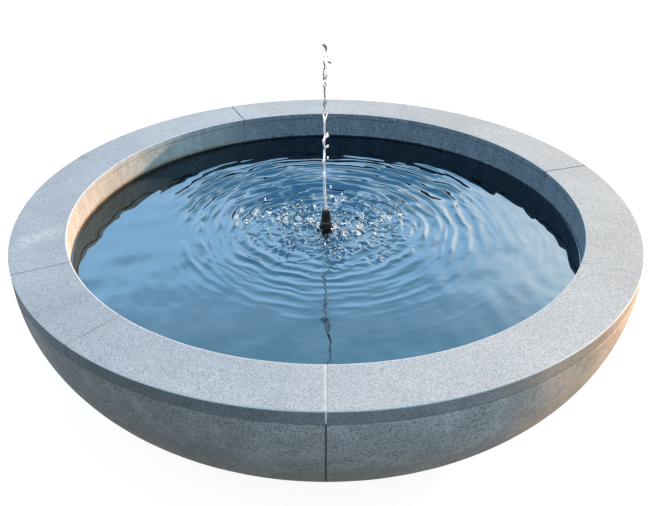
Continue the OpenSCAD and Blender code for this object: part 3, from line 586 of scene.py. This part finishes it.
def coping_granite():
    """Pale on top, with painted shade on the sawn drop edge and a little bluer painted shade on the left,
    painted sunlight on the right, and painted highlights on the arrises.
    """
    made, shader, place = new_finish("coping_granite", 0.62, shine=0.15)
    out, high, bearing = places(place)
    stone = crystals(place, 0.0022, (0.34, 0.368, 0.415), (0.498, 0.528, 0.576), (0.645, 0.667, 0.705))
    stone = scaled(stone, fade(cloud(place, 5.0, 6.0, 0.6), 0.35, 0.68, 0.95, 1.05))
    # Slow changes of tone round the ring: painted shade, bluer and darker, on the left where the low sun
    # doesn't reach; a little warmer on the right, and a little duller at the back
    for centre, near, far, tint in (
        (-165.0, 32.0, 105.0, (0.72, 0.765, 0.835)),
        (18.0, 40.0, 105.0, (0.955, 0.915, 0.875)),
        (88.0, 20.0, 60.0, (0.91, 0.92, 0.935)),
    ):
        amount = fade(turned_from(bearing, centre), near, far, 1.0, 0.0)
        stone = blended(amount, stone, tint, "MULTIPLY")
    # A slanting smear of lime on the left, and soot at the outer end of one joint
    slanted = calc("MULTIPLY_ADD", out, -31.0, calc("ADD", bearing, 195.2))
    smear = product(
        fade(calc("ABSOLUTE", slanted), 0.2, 3.2, 1.0, 0.0),
        fade(out, 0.83, 0.875),
        fade(out, 0.955, 0.985, 1.0, 0.0),
        fade(cloud(place, 60.0), 0.28, 0.66, 0.0, 0.42),
    )
    stone = blended(smear, stone, (0.78, 0.80, 0.82))
    soot = fade(turned_from(bearing, 156.5), 0.2, 2.0, 0.45, 0.0)
    stone = blended(product(soot, fade(out, 0.955, 0.985)), stone, (0.16, 0.17, 0.18))
    # The drop edge: rough sawn, with painted shade making it much darker than the top
    sawn = crystals(place, 0.0030, (0.15, 0.17, 0.19), (0.21, 0.235, 0.26), (0.27, 0.30, 0.325))
    sawn = scaled(sawn, fade(cloud(place, 9.0, 5.0, 0.6), 0.3, 0.72, 0.86, 1.10))
    # The tint of the darker front left, and the painted sunlight on the right
    tone_shift, painted_sun_tint = (0.50, 0.50, 0.505), (0.72, 0.505, 0.365)
    sawn = sides_with_painted_sun(place, sawn, bearing, tone_shift, (-73.0, -46.0), painted_sun_tint)
    stone = blended(drop_edge(out, high), stone, sawn)
    # Painted highlights on the arrises, warmer and stronger on the side the sun reaches
    off_arris = calc("ABSOLUTE", calc("SUBTRACT", out, 0.9985))
    arris_highlight = calc("MAXIMUM", calc("MULTIPLY_ADD", off_arris, -420.0, 1.0), 0.0)
    painted_sun_side = fade(turned_from(bearing, -22.0), 26.0, 52.0, 1.0, 0.0)
    arris_highlight = product(arris_highlight, fade(high, 0.4952, 0.498), fade(painted_sun_side, 0.0, 1.0, 0.6, 1.0))
    stone = blended(arris_highlight, stone, blended(painted_sun_side, (0.74, 0.77, 0.80), (0.98, 0.92, 0.80)))
    # Painted highlight along the inner arris
    arris_highlight = product(fade(out, 0.8315, 0.8345, 0.75, 0.0), fade(high, 0.4985, 0.4995))
    stone = blended(arris_highlight, stone, (0.86, 0.90, 0.94))
    # The slab's inner edge is part of the wall round the water
    inner = product(fade(out, 0.8303, 0.8312, 1.0, 0.0), fade(high, 0.4972, 0.4984, 1.0, 0.0))
    stone = blended(inner, stone, inner_wall(place, bearing)[0])
    join(shader, {"Base Color": stone})
    relief(shader, cloud(place, 420.0, 3.0, 0.6), 0.0006, 0.7)
    return made


coping_section = [
    (coping_inner_r, coping_top, 0.0025),
    (1.0, coping_top, 0.0025),
    (1.0, drop_under, 0.0025),
    (drop_inner_r, drop_under, 0.001),
    (drop_inner_r, slab_under, 0.0),
    (coping_inner_r, slab_under, 0.001),
]
stones = laid_stones(eased(coping_section, 0.010), coping_joints, 0.006, 0.0005, 0.0006, coping_granite())
for number, stone in enumerate(stones, 1):
    piece(f"coping_{number}", stone, "basin", "coping_granite", f"coping_stone_{number}")

# The pointing: mortar pressed into the coping's joints and struck off.
# Two joints have lost theirs down to a dark recess, one is worn thin, one at the front was filled anew
# with pale mortar, one is a painted shade line a little darker and bluer than the stone, and the others were
# filled almost flush in the colour of the stone.
pointing_kinds = {
    "gone": mortar("old_pointing", (0.075, 0.085, 0.095)),
    "thin": mortar("worn_pointing", (0.30, 0.33, 0.36)),
    "flush": mortar("stone_pointing", (0.50, 0.53, 0.57), 0.25, 0.42),
    "shaded": mortar("shaded_pointing", (0.355, 0.405, 0.465), 0.15, 0.36),
    "pale": mortar("new_pointing", (0.74, 0.74, 0.74)),
}
# For each joint: what it holds, how deep that lies under the stones' faces, and how far it reaches into them
pointing_look = {
    18.5: ("gone", 0.0008, 0.0006),
    70.0: ("flush", -0.0001, 0.0014),
    114.0: ("gone", 0.0010, 0.0006),
    156.0: ("flush", -0.0001, 0.0008),
    205.5: ("thin", 0.0003, 0.0006),
    # A painted shade line, a little darker and bluer than the stone
    229.0: ("shaded", -0.0001, 0.0020),
    270.0: ("pale", 0.0002, 0.0006),
    334.5: ("flush", -0.0001, 0.0012),
}


def joint_strips(sections, materials):
    """Fillers in one mesh, each given as (bearing, section, number of its material, reach into stone)."""
    strips = bmesh.new()
    for joint, section, number, reach in sections:
        bar = straight_length(section, 1, 0.0002)
        strip = bent_bar(bar, joint, joint, -joint_width / 2 - reach, 0.0003, 0.0, materials[number])
        before = len(strips.faces)
        strips.from_mesh(strip)
        strips.faces.ensure_lookup_table()
        for face in strips.faces[before:]:
            face.material_index = number
    joined = bpy.data.meshes.new("strips")
    strips.to_mesh(joined)
    strips.free()
    for material in materials:
        joined.materials.append(material)
    return joined


set_back = 0.003
sections = []
for joint, (kind, deep, reach) in pointing_look.items():
    strip = [
        (coping_inner_r + deep, coping_top - deep, 0.0025),
        (1.0 - deep, coping_top - deep, 0.0025),
        (1.0 - deep, drop_under + set_back, 0.0),
        (drop_inner_r + set_back, drop_under + set_back, 0.0),
        (drop_inner_r + set_back, slab_under, 0.0),
        (coping_inner_r + deep, slab_under, 0.0),
    ]
    sections.append((joint, eased(strip, 0.008), list(pointing_kinds).index(kind), reach))
pointing = joint_strips(sections, list(pointing_kinds.values()))
piece("pointing", pointing, "basin", "mortar", "coping_pointing")

# The sealant between the bowl stones, pressed in from both sides and tooled just below the stone.
seal_in = 0.0007
seal_section = [(wall_r + seal_in, wall_top - seal_in, 0.0), (bed_edge_r - seal_in, wall_top - seal_in, 0.0)]
seal_section += [(bed_edge_r - seal_in, rim_z - seal_in, 0.0), (1.0 - seal_in, rim_z - seal_in, 0.0)]
seal_section += arc(belly_at, belly_r - seal_in, -1.4, -59.5, 44)
seal_section += [(0.765, foot_z + seal_in, 0.0), (bore_r + seal_in, foot_z + seal_in, 0.0)]
seal_section += [(bore_r + seal_in, basin_floor - seal_in, 0.0)]
seal_section += arc(cove_at, cove_r + seal_in, -90.0, 0.0, 22)
sections = [(joint, seal_section, 0 if joint == 270.0 else 1, 0.0006) for joint in bowl_joints]
seals = joint_strips(sections, [joint_sealant, stone_sealant])
piece("joint_seals", seals, "basin", "sealant", "bowl_joint_seals")


# Steel: bright-drawn stainless dowels and cramps that pin the stones, and the screws of the pump.
# It shows fine drawing marks and a little tarnish where it is set in stone or stands in water.
def steel():
    made, shader, place = new_finish("stainless", 0.32, 1.0)
    drawn = fade(cloud(place, 160.0, 3.0, 0.6, (1.0, 1.0, 0.1)), 0.3, 0.7, 0.85, 1.05)
    join(shader, {"Base Color": scaled((0.58, 0.59, 0.60), drawn)})
    join(shader, {"Roughness": fade(cloud(place, 60.0), 0.3, 0.7, 0.26, 0.42)})
    relief(shader, cloud(place, 700.0, 2.0), 0.0001, 0.5)
    return made


finish_nodes(steel(), "coping_dowels", "tie_cramps", "volute_screws")


# The drain: a turned brass body through the basin floor with its locknut, closed by a plug on a rubber ring.
# Turning marks run round the brass, and it has dulled to brown in the corners under water.
def brass():
    made, shader, place = new_finish("brass", 0.3, 1.0)
    tarnish = fade(cloud(place, 70.0, 5.0, 0.65), 0.42, 0.72)
    join(shader, {"Base Color": blended(tarnish, (0.62, 0.43, 0.17), (0.20, 0.15, 0.075))})
    join(shader, {"Roughness": fade(tarnish, 0.0, 1.0, 0.24, 0.55)})
    relief(shader, cloud(place, 900.0, 2.0, 0.5, (1.0, 1.0, 0.15)), 0.00012, 0.6)
    return made


# Rubber: moulded gaskets, seals, feet and bushes, matt black with the grey bloom that rubber gets in water.
def rubber():
    made, shader, place = new_finish("moulded_rubber", 0.78)
    bloom = fade(cloud(place, 45.0, 5.0), 0.45, 0.75)
    join(shader, {"Base Color": blended(bloom, (0.018, 0.018, 0.019), (0.060, 0.062, 0.062))})
    relief(shader, cloud(place, 600.0, 2.0), 0.0002, 0.6)
    return made


# Moulded parts: the black glass-filled housing of the pump and its pipes, the white dial, the ceramic shaft,
# the ferrite magnet and the filter foam. Each has the grain of its mould and is scuffed on what stands proud.
def moulded(name, colour, roughness, scuff, grain=0.00018):
    made, shader, place = new_finish(name, roughness, shine=0.25)
    rubbed = fade(cloud(place, 38.0, 6.0, 0.65), 0.52, 0.72)
    join(shader, {"Base Color": blended(rubbed, colour, scuff)})
    worn = fade(cloud(place, 24.0), 0.3, 0.7, roughness - 0.08, roughness + 0.1)
    join(shader, {"Roughness": worn})
    relief(shader, cloud(place, 1100.0, 2.0), grain, 0.8)
    return made


slot_finishes = {
    "brass": brass(),
    "rubber": rubber(),
    "black_plastic": moulded("black_plastic", (0.020, 0.021, 0.023), 0.45, (0.040, 0.041, 0.042)),
    "nozzle_black": moulded("nozzle_black", (0.013, 0.014, 0.011), 0.30, (0.040, 0.030, 0.018), 0.00008),
    "white_plastic": moulded("white_plastic", (0.72, 0.72, 0.69), 0.38, (0.60, 0.60, 0.56)),
    "shaft_ceramic": moulded("shaft_ceramic", (0.80, 0.79, 0.75), 0.16, (0.74, 0.73, 0.69), 0.00003),
    "magnet_ferrite": moulded("magnet_ferrite", (0.055, 0.052, 0.052), 0.55, (0.085, 0.080, 0.080), 0.0003),
    "filter_foam": moulded("filter_foam", (0.025, 0.040, 0.060), 0.95, (0.045, 0.060, 0.075), 0.0016),
}
for row in frame["record"]["subparts"]:
    if row["material_slot"] in slot_finishes:
        finish_nodes(slot_finishes[row["material_slot"]], row["node"])

# The pool: water up to 103 mm below the coping, over the whole basin floor and round the pump and riser.
# Wavelets crowd round the nozzle, rings run out from it and fade, and slow swell crosses the rest.
water_z = 0.397
nozzle_x, nozzle_y = 0.0, 0.040
clearance = 0.0004
pool_r = wall_r - clearance
collar_r = 0.0206


def swell(x, y, length, spread, count, seed):
    """A smooth random surface of unit height, made of plane waves of about one length."""
    dice = np.random.RandomState(seed)
    total = np.zeros_like(x)
    for _ in range(count):
        pitch = 2 * math.pi / (length * math.exp(dice.normal(0.0, spread)))
        bearing, lag = dice.uniform(0, 2 * math.pi, 2)
        total += np.cos(pitch * (x * math.cos(bearing) + y * math.sin(bearing)) + lag)
    return total / math.sqrt(count / 2)


def eased_step(value, low, high):
    """A smooth rise from 0 at low to 1 at high."""
    share = np.clip((value - low) / (high - low), 0, 1)
    return share * share * (3 - 2 * share)


def water_height(x, y):
    """Height of the surface over still water, with x and y in metres."""
    out = np.hypot(x - nozzle_x, y - nozzle_y)
    bearing = np.arctan2(y - nozzle_y, x - nozzle_x)
    warp = 0.006 * swell(x, y, 0.30, 0.3, 24, 3) + 0.0026 * swell(x, y, 0.10, 0.3, 24, 4)
    far = np.clip(0.86 + 0.70 * np.sin(bearing - 0.30), 0.32, None)
    flank = np.where(np.sin(bearing) > 0, np.sin(2 * bearing) ** 2, 0.0)
    far *= 1 + 0.40 * flank
    lasting = 0.006 + 0.012 * np.clip(np.cos(bearing), 0, None)
    spent = 1 - eased_step(out, 0.34 + 0.10 * flank, 0.60 + 0.10 * flank)
    high = np.zeros_like(x)
    # Each set of rings is (length, steepness, seed, how far the warp slides it)
    ring_sets = ((0.054, 0.200, 5, 1.0), (0.0405, 0.140, 15, 0.9), (0.0285, 0.075, 25, -0.7))
    for length, steep, seed, slide in ring_sets:
        gusts = np.clip(0.85 + 0.60 * swell(x, y, 0.21, 0.4, 24, seed), 0.05, 2.1)
        slope = (steep * spent + lasting) * far * gusts * eased_step(out, 0.03, 0.12)
        turn = 2 * math.pi * (out + warp * slide) / length
        high += slope * length / (2 * math.pi) * (np.cos(turn) + 0.28 * np.cos(2 * turn))
    near = 1 - eased_step(out, 0.13, 0.36)
    broken = np.clip(0.75 + 0.60 * swell(x, y, 0.085, 0.4, 40, 10), 0.05, 2.0)
    high += near * broken * 0.26 * 0.040 / (2 * math.pi) * swell(x, y, 0.040, 0.35, 60, 6)
    high += near * broken * 0.21 * 0.019 / (2 * math.pi) * swell(x, y, 0.019, 0.35, 90, 7)
    high += 0.011 * 0.17 / (2 * math.pi) * swell(x, y, 0.17, 0.3, 24, 8)
    high += 0.005 * 0.08 / (2 * math.pi) * swell(x, y, 0.08, 0.3, 30, 9)
    leaning = np.exp(-(((x - 0.03) / 0.38) ** 2) - ((y - 0.57) / 0.11) ** 2)
    high += 0.0018 * leaning * np.cos(2 * math.pi * (y - 0.490) / 0.30)
    from_wall = np.maximum(pool_r - np.hypot(x, y), 0)
    return high + 0.0018 * np.exp(-from_wall / 0.0025)


def surface_at(x, y):
    """Height of the water's surface above the ground at one place."""
    return water_z + float(water_height(np.array([x]), np.array([y]))[0])


around = 400
bearing = np.arange(around) * 2 * math.pi / around
toward = np.stack([np.cos(bearing), np.sin(bearing)], axis=1)
lean = nozzle_y * toward[:, 1]
reach = -lean + np.sqrt(lean**2 - nozzle_y**2 + pool_r**2)
rings = []


def add_ring(out, high=None):
    """One ring of the pool's skin round the nozzle, at a height or else on the water's surface."""
    rings.append((nozzle_x + out * toward[:, 0], nozzle_y + out * toward[:, 1], high))


edge_width = 0.006
for share in (np.linspace(0.0, 1.0, 200) ** 1.15)[:-1]:
    add_ring(collar_r + (reach - edge_width - collar_r) * share)
for gap in (edge_width, 0.004, 0.0022, 0.0010, 0.0):
    add_ring(reach - gap)
edge_x, edge_y, _ = rings[-1]
below = [(pool_r, 0.380), (pool_r, cove_at[1])]
for x, z, _ in arc(cove_at, cove_r, 0.0, -90.0, 16)[1:]:
    below.append((x - clearance * (x - cove_at[0]) / cove_r, z + clearance))
for out, high in below:
    rings.append((edge_x * out / pool_r, edge_y * out / pool_r, high))
inner_x, inner_y, floor_high = rings[-1]
# The room that the water leaves for the pump is longer where the strainer pulls out
across, along = np.abs(toward).clip(1e-6, None).T
pump_room = 0.125
pull_room = np.minimum(0.202 / across, 0.066 / along)
well_r = np.where(toward[:, 0] < 0, np.maximum(pump_room, pull_room), pump_room)
drain_y = 0.330
gland_y = 0.200
for share in np.linspace(0, 1, 14)[1:]:
    x = inner_x * (1 - share) + (nozzle_x + well_r * toward[:, 0]) * share
    y = inner_y * (1 - share) + (nozzle_y + well_r * toward[:, 1]) * share
    over_drain = 1 - eased_step(np.hypot(x, y - drain_y), 0.050, 0.075)
    over_gland = 1 - eased_step(np.hypot(x, y - gland_y), 0.026, 0.046)
    rings.append((x, y, floor_high + 0.045 * over_drain + 0.040 * over_gland))
riser_room = ((0.060, 0.222), (0.060, 0.276), (0.034, 0.284), (0.034, 0.366), (collar_r, 0.376))
for out, high in ((well_r, 0.216), *riser_room):
    add_ring(out, high)
verts = []
for x, y, high in rings:
    high = water_z + water_height(x, y) if high is None else np.full(around, high)
    verts.append(np.stack([x, y, high], axis=1))
verts = np.concatenate(verts)
count = len(rings)
faces = []
for i in range(count):
    here, there = i * around, ((i + 1) % count) * around
    for k in range(around):
        on = (k + 1) % around
        faces.append((here + k, there + k, there + on, here + on))
pool = bpy.data.meshes.new("pool")
pool.from_pydata(verts.tolist(), [], faces)


def closed_outward(mesh):
    """Turns a closed mesh's faces outwards and shades it smooth."""
    shape = bmesh.new()
    shape.from_mesh(mesh)
    if shape.calc_volume(signed=True) < 0:
        bmesh.ops.reverse_faces(shape, faces=shape.faces)
    for face in shape.faces:
        face.smooth = True
    shape.to_mesh(mesh)
    shape.free()
    return mesh


def pool_water():
    """A dark deep body under a mirror, with froth where the drops fall in round the nozzle."""
    greyed = {"Specular Tint": (0.6, 0.6, 0.6, 1.0)}
    made, shader, place = new_finish("pool_water", 0.02, 1.0, others=greyed)
    tree = shader.id_data
    foot = (nozzle_x, nozzle_y, water_z)
    offset = add(tree, "ShaderNodeVectorMath", {0: place, 1: foot}, operation="SUBTRACT").outputs[0]
    out = add(tree, "ShaderNodeVectorMath", {0: offset}, operation="LENGTH").outputs["Value"]
    near = fade(out, 0.05, 0.26, 1.0, 0.0)
    froth = product(fade(cloud(place, 95.0, 3.0, 0.6), 0.63, 0.70), near)
    murk = fade(cloud(place, 3.0, 3.0), 0.3, 0.7)
    colour = blended(murk, (0.086, 0.128, 0.168), (0.094, 0.134, 0.170))
    join(shader, {"Base Color": blended(froth, colour, (0.80, 0.82, 0.86))})
    join(shader, {"Metallic": fade(froth, 0.0, 1.0, 1.0, 0.15)})
    relief(shader, cloud(place, 120.0, 3.0), 0.004, calc("MULTIPLY", near, 0.5))
    return made


pool.materials.append(pool_water())
piece("pool", closed_outward(pool), "basin", "water", "pool_water")


# The jet: one stream from the nozzle's 9 mm bore. It is round and glassy at first, then twists,
# necks into beads and strands, and breaks into drops where it turns over half a metre above the coping.
def bright_water(name, milk, rim):
    """Water full of fine air that sunlight shines through; its edges get a painted dark rim, and above 0.815
    m it is painted dark and glassy with painted glints.
    """
    clear_water = {"IOR": 1.33, "Transmission Weight": 1.0 - milk}
    airy = {"Subsurface Weight": 1.0, "Subsurface Radius": (1.0, 0.9, 0.95), "Subsurface Scale": 0.006}
    made, shader, place = new_finish(name, 0.06, 0.22, others={**clear_water, **airy})
    tree = shader.id_data
    high = add(tree, "ShaderNodeSeparateXYZ", {0: place}).outputs["Z"]
    # Painted dark glass with painted glints above 0.815 m, for the darker surroundings seen through the top
    # of the jet
    clear = fade(high, 0.815, 0.850)
    # Painted dark rim, in the colour given as rim, where the surface turns away
    edge = fade(add(tree, "ShaderNodeLayerWeight", {"Blend": 0.5}).outputs["Facing"], 0.45, 0.90)
    middle = steps(cloud(place, 160.0, 2.0), (0.35, (0.88, 0.88, 0.92)), (0.65, (1.0, 0.98, 1.0)))
    middle = blended(edge, middle, rim)
    painted_glint = fade(cloud(place, 210.0, 2.0), 0.52, 0.58)
    glassy = blended(painted_glint, (0.060, 0.066, 0.075), (0.80, 0.80, 0.84))
    join(shader, {"Base Color": blended(clear, middle, glassy)})
    return made


def in_use(sockets):
    """The sockets that a node uses for its kind of data."""
    return [socket for socket in sockets if socket.enabled]


def bead_tree():
    """Runs round beads of water together into one skin where they touch."""
    sockets = (("Beads", "Geometry"), ("Finest Detail", "Float"), ("Water", "Material"))
    tree, given = new_tree("run_beads_together", "Skin", *sockets)
    girth = attribute(tree, "girth")
    dots = add(tree, "GeometryNodeMeshToPoints", {"Mesh": given["Beads"], "Radius": girth})
    sockets = {"Points": dots.outputs[0], "Voxel Size": given["Finest Detail"], "Radius": girth}
    body = add(tree, "GeometryNodePointsToVolume", sockets, resolution_mode="VOXEL_SIZE")
    skin = add(tree, "GeometryNodeVolumeToMesh", {"Volume": body.outputs[0], "Threshold": 0.1})
    soft = add(tree, "GeometryNodeBlurAttribute", {"Iterations": 3}, data_type="FLOAT_VECTOR")
    tree.links.new(add(tree, "GeometryNodeInputPosition").outputs[0], in_use(soft.inputs)[0])
    sockets = {"Geometry": skin.outputs[0], "Position": in_use(soft.outputs)[0]}
    return ended(tree, add(tree, "GeometryNodeSetPosition", sockets), given["Water"])


run_together = bead_tree()


def run_beads(spots, girths, finest_detail, water):
    """A mesh of beads at some spots, run together."""
    beads = bpy.data.meshes.new("beads")
    beads.from_pydata(spots, [], [])
    beads.attributes.new("girth", "FLOAT", "POINT").data.foreach_set("value", girths)
    return made_plain(beads, run_together, finest_detail=finest_detail, water=water)


# Each strand is a run of (sideways, height, radius) in millimetres from the nozzle's axis and the ground
strands = [
    [(0, 461.5, 4.2), (-0.5, 470, 4.4), (-2.2, 490, 4.6), (-4.2, 515, 4.7), (-5.4, 545, 4.8),
     (-6.2, 575, 4.6), (-5.8, 600, 4.9), (-6.0, 618, 4.3), (-6.6, 630, 3.8), (-8.2, 642, 4.8),
     (-6.2, 653, 3.4), (-5.6, 662, 3.8), (-6.2, 674, 4.0), (-5.0, 684, 3.0), (-5.6, 697, 2.8),
     (-7.6, 707, 4.4), (-7.8, 715, 4.8), (-5.4, 724, 2.9), (-4.2, 733, 3.0), (-6.2, 749, 4.0),
     (-5.4, 762, 3.7), (-5.4, 772, 3.7), (-5.4, 783, 3.6), (-7.0, 792, 3.0), (-9.0, 801, 2.8),
     (-8.3, 817, 3.5), (-5.0, 826, 3.2), (-3.4, 839, 3.2), (0.0, 844, 3.1), (-2.5, 853, 3.2),
     (-4.8, 858, 3.5), (-4.3, 868, 3.3), (-5.0, 874, 3.3), (-4.6, 889, 3.2), (-5.2, 893, 2.3),
     (-9.3, 899, 2.3), (-6.4, 904, 1.6), (-3.4, 908, 1.7), (-3.3, 915, 1.8), (-7.5, 921, 3.2),
     (-8.3, 927, 3.1), (-8.0, 934, 2.1), (-8.3, 943, 2.1), (-6.3, 950, 2.6), (-3.8, 958, 2.4),
     (-5.4, 967, 2.8), (-7.0, 972, 2.7), (-8.3, 978, 2.4)],
    [(-5.0, 783, 3.0), (-1.0, 792, 2.2), (2.3, 801, 2.2), (0.8, 811, 3.0), (0.0, 818, 3.6),
     (-2.4, 826, 3.0)],
    [(-5.2, 893, 2.0), (-1.0, 896, 1.7), (0.3, 900, 1.9), (-1.0, 905, 1.6), (-3.3, 909, 1.6)],
    [(-4.0, 917, 1.9), (-1.0, 921, 2.4), (-0.6, 928, 3.1), (-0.4, 937, 2.4), (-0.9, 944, 1.8)],
    [(-7.5, 832, 1.9), (-7.5, 838, 2.4), (-6.0, 846, 1.8)],
    [(-5.0, 688, 2.2), (-1.0, 690, 2.4), (4.0, 693, 4.5), (5.4, 697, 3.4)],
    [(-4.6, 724, 2.2), (0.0, 726, 2.8), (3.6, 729, 4.6), (4.4, 733, 3.4), (3.4, 739, 2.4)],
    [(5.2, 653.5, 3.0), (5.0, 658, 2.3)],
    [(1.4, 951, 1.8), (1.9, 955, 1.9)],
    [(4.5, 975, 1.6), (8.5, 973.5, 2.8), (12.5, 972, 3.1), (15.0, 970.5, 2.0)],
    [(-6.0, 991, 1.6), (-4.6, 987, 1.8)],
    [(3.6, 990.5, 1.7), (3.2, 984, 1.6)],
    [(-0.5, 1005, 2.2), (0.5, 1011, 2.8), (0.6, 1017, 3.0), (-1.5, 1023, 3.0), (-6.1, 1027.0, 2.9),
     (-10.0, 1026.5, 2.8), (-13.4, 1025.0, 2.1)],
    [(-7.4, 1021, 2.5), (-4.2, 1018, 2.7), (-2.2, 1013, 2.2)],
    [(-10.3, 1009, 1.4), (-9.6, 1012, 1.5)],
    [(5.2, 1014, 1.1), (5.6, 1017, 1.1)],
    [(16.3, 543, 2.8), (15.8, 547, 3.2), (14.8, 552, 2.4)],
    [(53.2, 521, 2.3), (51.0, 524, 2.2)],
]
spots = []
girths = []
for strand in strands:
    run = np.array(strand, float) / 1000
    length = np.concatenate([[0], np.cumsum(np.hypot(*np.diff(run[:, :2], axis=0).T))])
    at = np.arange(0, length[-1], 0.0009)
    x, z, r = (np.interp(at, length, run[:, i]) for i in range(3))
    y = nozzle_y + 0.0032 * np.sin(z * 95) * eased_step(z, 0.47, 0.66)
    spots += np.stack([x, y, z], axis=1).tolist()
    girths += r.tolist()
jet_water = bright_water("jet_water", 1.0, (0.32, 0.34, 0.40))
piece("jet", run_beads(spots, girths, 0.00065, jet_water), "nozzle", "water", "water_jet")


# The splash: drops that fall back round the nozzle, and froth that stands on the water at its foot.
def splash_tree():
    """Scatters beads over a ring of water, more of them near the nozzle, each a little flattened."""
    numbers = [(name, "Float") for name in ("Density", "Smallest", "Largest")]
    sockets = (("Ring", "Geometry"), *numbers, ("Seed", "Int"), ("Water", "Material"))
    tree, given = new_tree("scatter_drops", "Drops", *sockets)
    thick = calc("MULTIPLY", attribute(tree, "crowd"), given["Density"])
    sockets = {"Mesh": given["Ring"], "Density": thick, "Seed": given["Seed"]}
    dots = add(tree, "GeometryNodeDistributePointsOnFaces", sockets)
    girth = add(tree, "FunctionNodeRandomValue", data_type="FLOAT")
    smallest, largest = in_use(girth.inputs)[:2]
    tree.links.new(given["Smallest"], smallest)
    tree.links.new(given["Largest"], largest)
    wide = in_use(girth.outputs)[0]
    flattened = calc("MULTIPLY", wide, 0.75)
    shape = add(tree, "ShaderNodeCombineXYZ", {0: wide, 1: wide, 2: flattened}).outputs[0]
    bead = add(tree, "GeometryNodeMeshIcoSphere", {"Radius": 1.0, "Subdivisions": 2})
    sockets = {"Points": dots.outputs[0], "Instance": bead.outputs[0], "Scale": shape}
    return ended(tree, add(tree, "GeometryNodeInstanceOnPoints", sockets), given["Water"])


verts = []
crowd = []
faces = []
spokes = 60
radii = np.linspace(0.024, 0.25, 20)
for i, out in enumerate(radii):
    for k in range(spokes):
        turn = 2 * math.pi * k / spokes
        x, y = nozzle_x + out * math.cos(turn), nozzle_y + out * math.sin(turn)
        verts.append((x, y, surface_at(x, y)))
        crowd.append((1 - i / (len(radii) - 1)) ** 1.6 + (3.0 if i == 0 else 0.0))
for i in range(len(radii) - 1):
    for k in range(spokes):
        a, b = i * spokes + k, i * spokes + (k + 1) % spokes
        faces.append((a, a + spokes, b + spokes, b))
ring = bpy.data.meshes.new("ring")
ring.from_pydata(verts, [], faces)
ring.attributes.new("crowd", "FLOAT", "POINT").data.foreach_set("value", crowd)
splash_water = bright_water("splash_water", 0.9, (0.42, 0.48, 0.55))
drops = {"density": 2600.0, "smallest": 0.0009, "largest": 0.0030, "seed": 4, "water": splash_water}
splash = made_plain(ring, splash_tree(), **drops)
piece("splash", splash, "basin", "water")

# Froth: drops that have just landed and run together. Each patch is (x, y, width, depth) in millimetres
froth_patches = [
    (-222, 246, 10, 22), (-145, 178, 17, 24), (-138, 121, 18, 18), (-198, 136, 14, 44), (-165, 97, 17, 28),
    (-220, 101, 8, 18), (-91, 157, 10, 34), (-55, 89, 30, 34), (20, 262, 13, 36), (60, 230, 14, 18),
    (147, 194, 16, 32), (126, 98, 12, 40), (105, 34, 10, 40), (93, 2, 13, 22), (60, 64, 20, 18),
    (192, 80, 10, 32), (219, 98, 12, 60), (260, 130, 16, 60), (156, 64, 13, 24), (-104, 205, 7, 12),
    (-75, 164, 7, 16), (-88, 67, 10, 12), (-88, -18, 7, 12), (-3, -80, 6, 16), (-275, 64, 10, 22),
    (33, 36, 13, 16), (68, 150, 9, 14), (100, 120, 9, 16), (-28, 130, 7, 14), (30, 150, 8, 16),
    (-26, 36, 15, 24), (27, 34, 17, 28), (-25, 24, 10, 10), (25, 22, 10, 10), (-26, 48, 8, 12),
    (29, 26, 8, 8),
]
nozzle_r = 0.0205
dice = np.random.RandomState(12)
spots = []
girths = []
for x, y, wide, deep in froth_patches:
    for _ in range(int(3 + wide * deep / 26)):
        across, along = dice.normal(0.0, 0.27, 2)
        at = (x / 1000 + across * wide / 1000, y / 1000 + along * deep / 1000)
        girth = dice.uniform(0.0011, 0.0030)
        if math.hypot(at[0] - nozzle_x, at[1] - nozzle_y) < nozzle_r + girth:
            continue
        spots.append((*at, surface_at(*at) + girth * dice.uniform(0.0, 1.3)))
        girths.append(girth)
froth = run_beads(spots, girths, 0.0008, splash_water)
piece("froth", froth, "basin", "water")
